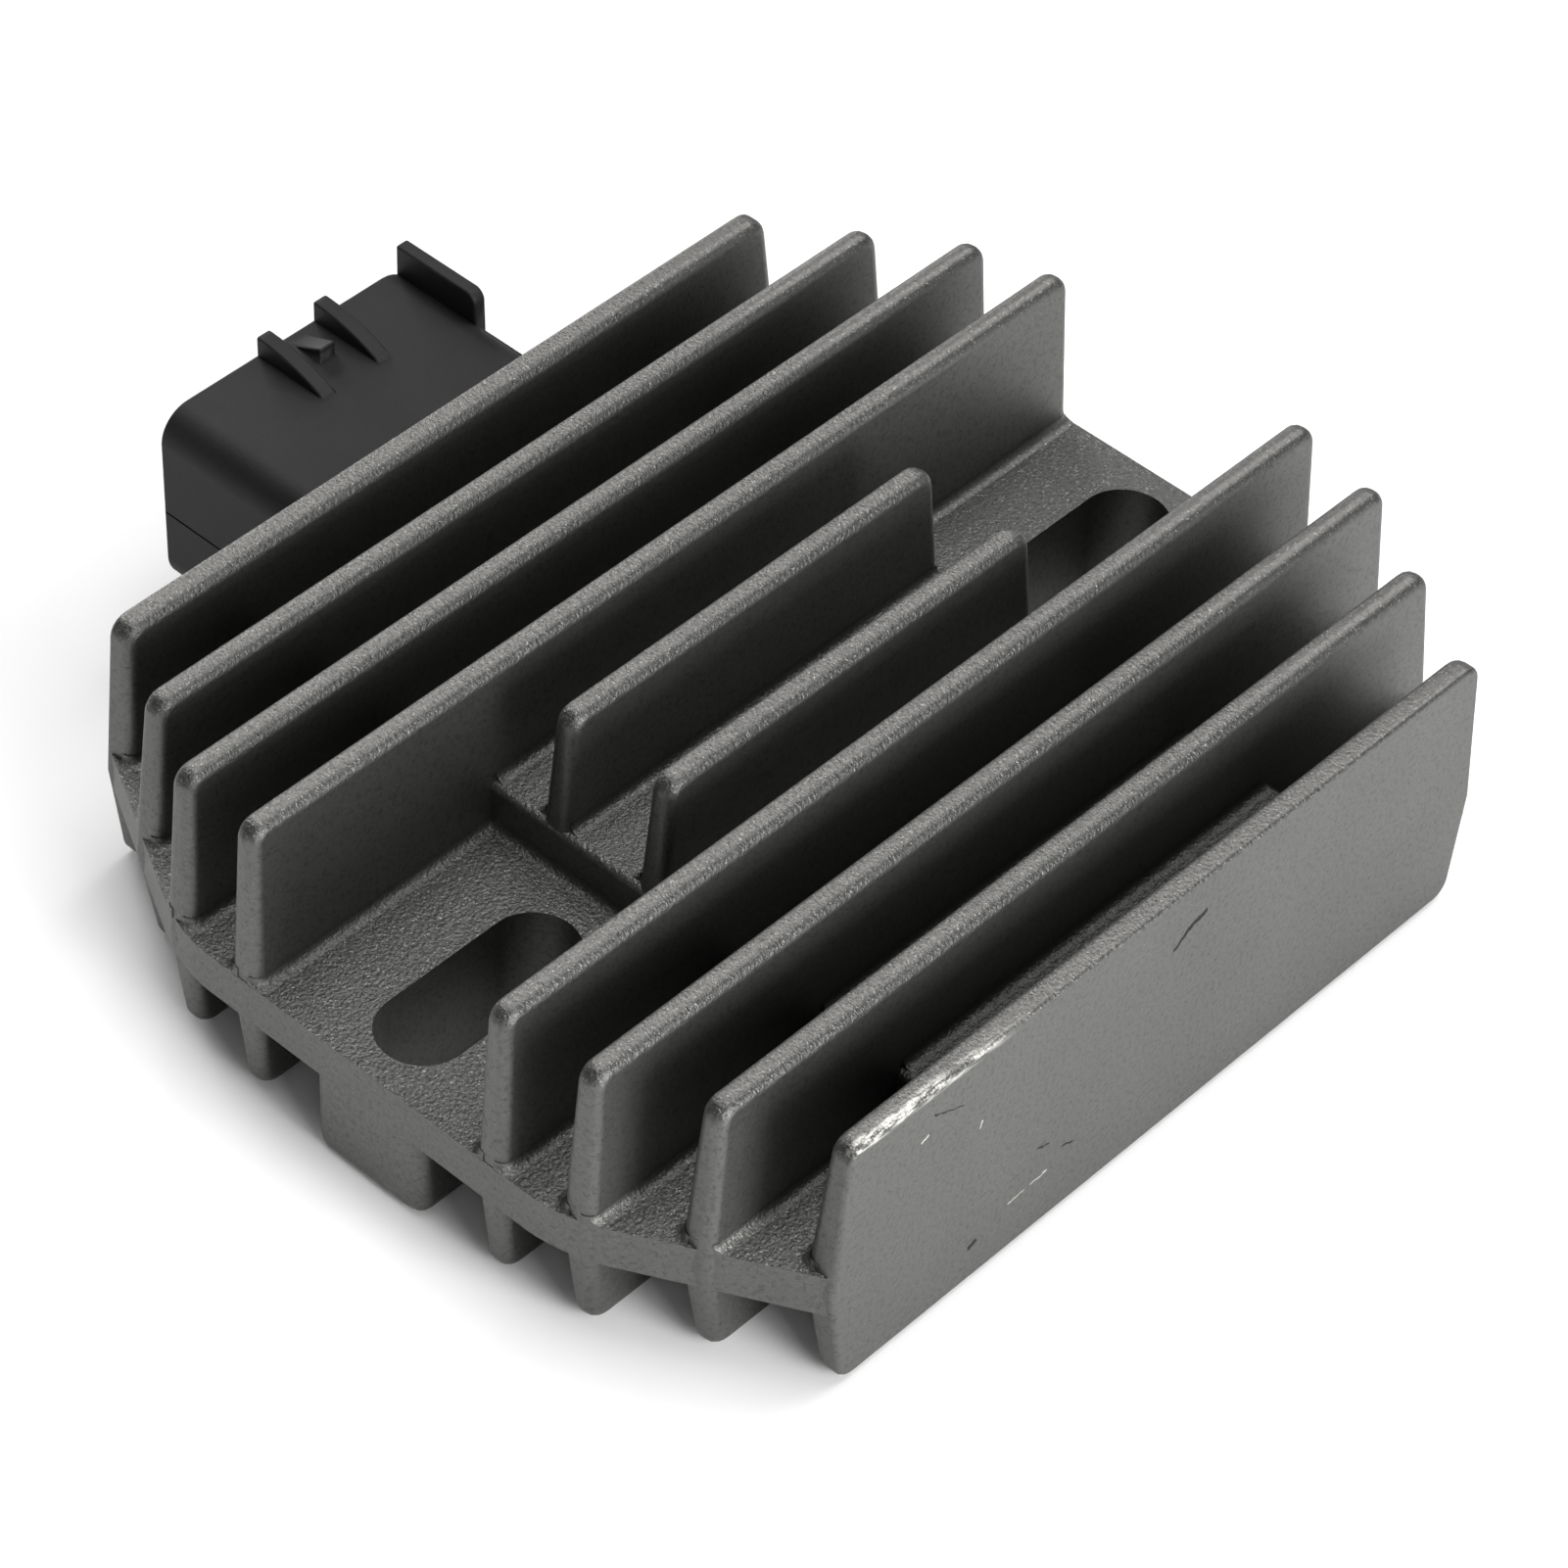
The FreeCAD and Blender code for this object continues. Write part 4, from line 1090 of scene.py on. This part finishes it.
    def profile(self, base: Vector, out: Vector) -> Mesh:
        """Draws the closed profile of a concave fillet.

        Args:
            base: The inner corner's point.
            out: The way from the wall, level.

        Returns:
            A mesh with the one face.
        """
        mesh = bmesh.new()
        up = Vector((0, 0, self.fillet))
        first = mesh.verts.new(base + up)
        centre = base + up + out * self.fillet
        axis = out.cross(Vector((0, 0, 1)))
        bmesh.ops.spin(
            mesh, geom=[first], cent=centre, axis=axis, angle=math.pi / 2, steps=5, use_duplicate=False
        )
        low = min(mesh.verts, key=lambda vertex: vertex.co.z)
        sunk = mesh.verts.new(base - out * self.fillet_in - Vector((0, 0, self.fillet_under)))
        mesh.edges.new((low, sunk))
        mesh.edges.new((sunk, first))
        bmesh.ops.contextual_create(mesh, geom=mesh.edges[:])
        return mesh

    def strip(self, out: Vector, start: Vector, end: Vector) -> Mesh:
        """A concave fillet along a straight inner corner.

        Args:
            out: The way from the wall, level.
            start: Where the corner starts.
            end: Where it ends.

        Returns:
            The mesh.
        """
        mesh = self.profile(start, out)
        extrude(mesh, end - start)
        return mesh

    def turn(self, out: Vector, start: Vector, radius: float, side: int) -> Mesh:
        """A concave fillet round an upright corner of a fin, from its flank to its end.

        Args:
            out: The way from the flank, level.
            start: Where the flank's corner ends and the turn starts.
            radius: The radius of the fin's upright corner.
            side: 1 at the far end, -1 at the near one.

        Returns:
            The mesh.
        """
        mesh = self.profile(start, out)
        way = Vector((0, 0, 1)) * (1 if out.cross(Vector((0, side, 0))).z > 0 else -1)
        centre = start - out * radius
        bmesh.ops.spin(
            mesh, geom=mesh.faces[:], cent=centre, axis=way, angle=math.pi / 2, steps=6, use_duplicate=False
        )
        bmesh.ops.recalc_face_normals(mesh, faces=mesh.faces)
        return mesh

    def fillets(self, fin: Fin) -> list:
        """The fillets along the foot of one fin, on the low floor at both ends and on the raised one.

        Args:
            fin: The fin.

        Returns:
            Their meshes.
        """
        strips = []
        step = self.raised_length / 2
        over = step - self.step_radius
        for number, sign in enumerate((-1, 1)):
            if fin.outermost and sign > 0:
                continue
            out = Vector((sign, 0, 0))
            wall = fin.sides(self.raised + self.fillet_level)[number]
            start, end = Vector((wall, -over, self.raised)), Vector((wall, over, self.raised))
            strips.append(self.strip(out, start, end))
            if fin.short:
                continue
            wall = fin.sides(self.floor + self.fillet_level)[number]
            for side in (-1, 1):
                start = Vector((wall, side * step, self.floor))
                end = Vector((wall, side * (fin.end(self.floor) - fin.edge_radius), self.floor))
                strips.append(self.trimmed(self.strip(out, start, end)))
                strips.append(self.trimmed(self.turn(out, end, fin.edge_radius, side)))
        return strips

    def step_fillets(self) -> list:
        """The fillets at the foot of both steps, between the fins.

        Returns:
            Their meshes.
        """
        strips = []
        half = self.raised_width / 2
        for side in (-1, 1):
            along = side * self.raised_length / 2
            start, end = Vector((-half, along, self.floor)), Vector((half, along, self.floor))
            strips.append(self.strip(Vector((0, side, 0)), start, end))
        return strips


def joined(name: str, parts: list, material: bpy.types.Material) -> bpy.types.Object:
    """Puts meshes in millimetres together as one smooth piece.

    Args:
        name: The piece's name.
        parts: Its meshes, which are used up.
        material: Its finish.

    Returns:
        The piece, at the origin.
    """
    whole = bmesh.new()
    for part in parts:
        held = bpy.data.meshes.new("held")
        part.to_mesh(held)
        part.free()
        whole.from_mesh(held)
        bpy.data.meshes.remove(held)
    bmesh.ops.scale(whole, vec=(MM, MM, MM), verts=whole.verts)
    for face in whole.faces:
        face.smooth = True
    data = bpy.data.meshes.new(name)
    whole.to_mesh(data)
    whole.free()
    data.materials.append(material)
    data.set_sharp_from_angle(angle=math.radians(SMOOTH_LIMIT))
    piece = bpy.data.objects.new(name, data)
    bpy.context.scene.collection.objects.link(piece)
    weighted = piece.modifiers.new("weighted normals", "WEIGHTED_NORMAL")
    weighted.keep_sharp = True
    LOG.info("%s: %d faces", name, len(data.polygons))
    return piece


@dataclass
class Housing:
    """The connector housing, made over its node's own mesh with its edges eased.

    Only edges of more than sharp degrees are eased, on the shroud, which ends at shroud_end.
    """

    easing: float = 0.25
    sharp: float = 40.0
    flat: float = 0.5
    merged: float = 0.002
    shroud_end: float = -42.5

    def make(self, frame: dict, material: bpy.types.Material) -> bpy.types.Object:
        """Makes the housing and puts it in its node's place.

        Args:
            frame: What the frame holds.
            material: Its finish.

        Returns:
            The piece.
        """
        mesh = bmesh.new()
        mesh.from_mesh(frame["nodes"]["connector_housing"].data)
        bmesh.ops.scale(mesh, vec=(1 / MM, 1 / MM, 1 / MM), verts=mesh.verts)
        bmesh.ops.remove_doubles(mesh, verts=mesh.verts, dist=self.merged)
        bmesh.ops.dissolve_limit(
            mesh, angle_limit=math.radians(self.flat), verts=mesh.verts, edges=mesh.edges
        )
        limit = math.radians(self.sharp)
        edges = [
            edge
            for edge in mesh.edges
            if edge.is_manifold and edge.is_convex and edge.calc_face_angle() > limit and self.outside(edge)
        ]
        round_edges(mesh, edges, self.easing, segments=3, clamped=False)
        piece = joined("housing", [mesh], material)
        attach(piece, "root")
        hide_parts("connector_housing")
        return piece

    def outside(self, edge: Edge) -> bool:
        """True for an edge on the shroud's outside, away from the neck."""
        return all(vertex.co.x < self.shroud_end for vertex in edge.verts)


@dataclass
class Circuit:
    """The pieces that keep the frame's own mesh: the terminals and the sealed circuit."""

    finishes: tuple[PlainFinish, ...] = (TIN, ALUMINA, MOULDED_EPOXY, LAMINATE, COPPER, SLEEVED_CAN, RESIN)

    def make(self, frame: dict) -> None:
        """Gives each piece its finish.

        Args:
            frame: What the frame holds.
        """
        made = {finish.name: finish.make() for finish in self.finishes}
        for name, node in frame["nodes"].items():
            slots = [slot.material.name.split(".")[0] for slot in node.material_slots if slot.material]
            if slots and slots[0] in made:
                node.data.materials.clear()
                node.data.materials.append(made[slots[0]])
                LOG.info("%s: %s", name, slots[0])


@dataclass
class SoftLight:
    """A soft light: where it stands in metres, how wide it is and how strong."""

    name: str
    place: tuple[float, float, float]
    width: float
    power: float

    def make(self, aim: Vector) -> None:
        """Makes the light.

        Args:
            aim: The point that it faces.
        """
        data = bpy.data.lights.new(self.name, "AREA")
        data.shape = "SQUARE"
        data.size = self.width
        data.energy = self.power
        lamp = bpy.data.objects.new(self.name, data)
        lamp.location = self.place
        lamp.rotation_euler = (aim - Vector(self.place)).to_track_quat("-Z", "Y").to_euler()
        bpy.context.scene.collection.objects.link(lamp)


@dataclass
class Studio:
    """The floor, the light and the camera, in metres."""

    floor_width: float = 6.0
    camera_place: tuple[float, float, float] = (0.234519, -0.265844, 0.361204)
    camera_aim: tuple[float, float, float] = (0.010664, -0.012762, 0.027342)
    camera_roll: float = 2.493
    lens: float = 134.74
    sensor: float = 36.0
    clip: tuple[float, float] = (0.01, 20.0)
    sky: float = 0.15
    lights: tuple[SoftLight, ...] = (
        SoftLight("overhead", (-0.1, 0.1, 1.2), 0.8, 9.4),
        SoftLight("back", (0.1, 0.8, 0.9), 0.8, 5.4),
        SoftLight("right, low", (0.55, 0.0, 0.15), 0.25, 3.1),
        SoftLight("right, high", (0.5, -0.1, 0.33), 0.3, 1.7),
        SoftLight("front", (0.8, -0.8, 0.5), 0.6, 1.0),
        SoftLight("left", (-1.1, 0.35, 0.4), 0.6, 8.0),
    )

    def make(self, lowest: float) -> None:
        """Makes the whole studio.

        Args:
            lowest: The height of the floor.
        """
        self.make_floor(lowest)
        self.make_light()
        self.make_camera()

    def make_floor(self, lowest: float) -> None:
        """Makes the floor.

        Args:
            lowest: Its height.
        """
        mesh = bmesh.new()
        place = Matrix.Translation((0, 0, lowest))
        bmesh.ops.create_grid(mesh, x_segments=1, y_segments=1, size=self.floor_width / 2, matrix=place)
        data = bpy.data.meshes.new("floor")
        mesh.to_mesh(data)
        mesh.free()
        data.materials.append(PALE_PAPER.make())
        floor = bpy.data.objects.new("floor", data)
        bpy.context.scene.collection.objects.link(floor)
        floor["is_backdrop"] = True

    def make_light(self) -> None:
        """Makes the lights and the even light all round."""
        world = bpy.data.worlds.new("studio")
        world.use_nodes = True
        background = world.node_tree.nodes["Background"]
        background.inputs["Color"].default_value = (1, 1, 1, 1)
        background.inputs["Strength"].default_value = self.sky
        bpy.context.scene.world = world
        for light in self.lights:
            light.make(Vector(self.camera_aim))
        bpy.context.scene.view_settings.view_transform = "Standard"

    def make_camera(self) -> None:
        """Makes the camera, which looks down from the near right."""
        data = bpy.data.cameras.new("camera")
        data.lens = self.lens
        data.sensor_width = self.sensor
        data.clip_start, data.clip_end = self.clip
        camera = bpy.data.objects.new("camera", data)
        gaze = Vector(self.camera_aim) - Vector(self.camera_place)
        turn = gaze.to_track_quat("-Z", "Y").to_matrix().to_4x4()
        roll = Matrix.Rotation(math.radians(self.camera_roll), 4, "Z")
        camera.matrix_world = Matrix.Translation(self.camera_place) @ turn @ roll
        bpy.context.scene.collection.objects.link(camera)
        bpy.context.scene.camera = camera


def corners_of_model() -> list[list[float]]:
    """The lowest and highest corner of the shown object, in metres, as plain lists."""
    return [list(corner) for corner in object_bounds()]


def main() -> None:
    """Builds the scene in order."""
    logging.basicConfig(level=logging.INFO, format="%(message)s")
    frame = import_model()
    before = corners_of_model()
    Casting().make(BlastedAluminium().make())
    Housing().make(frame, MouldedPlastic().make())
    Circuit().make(frame)
    Studio().make(before[0][2])


if __name__ == "__main__":
    main()
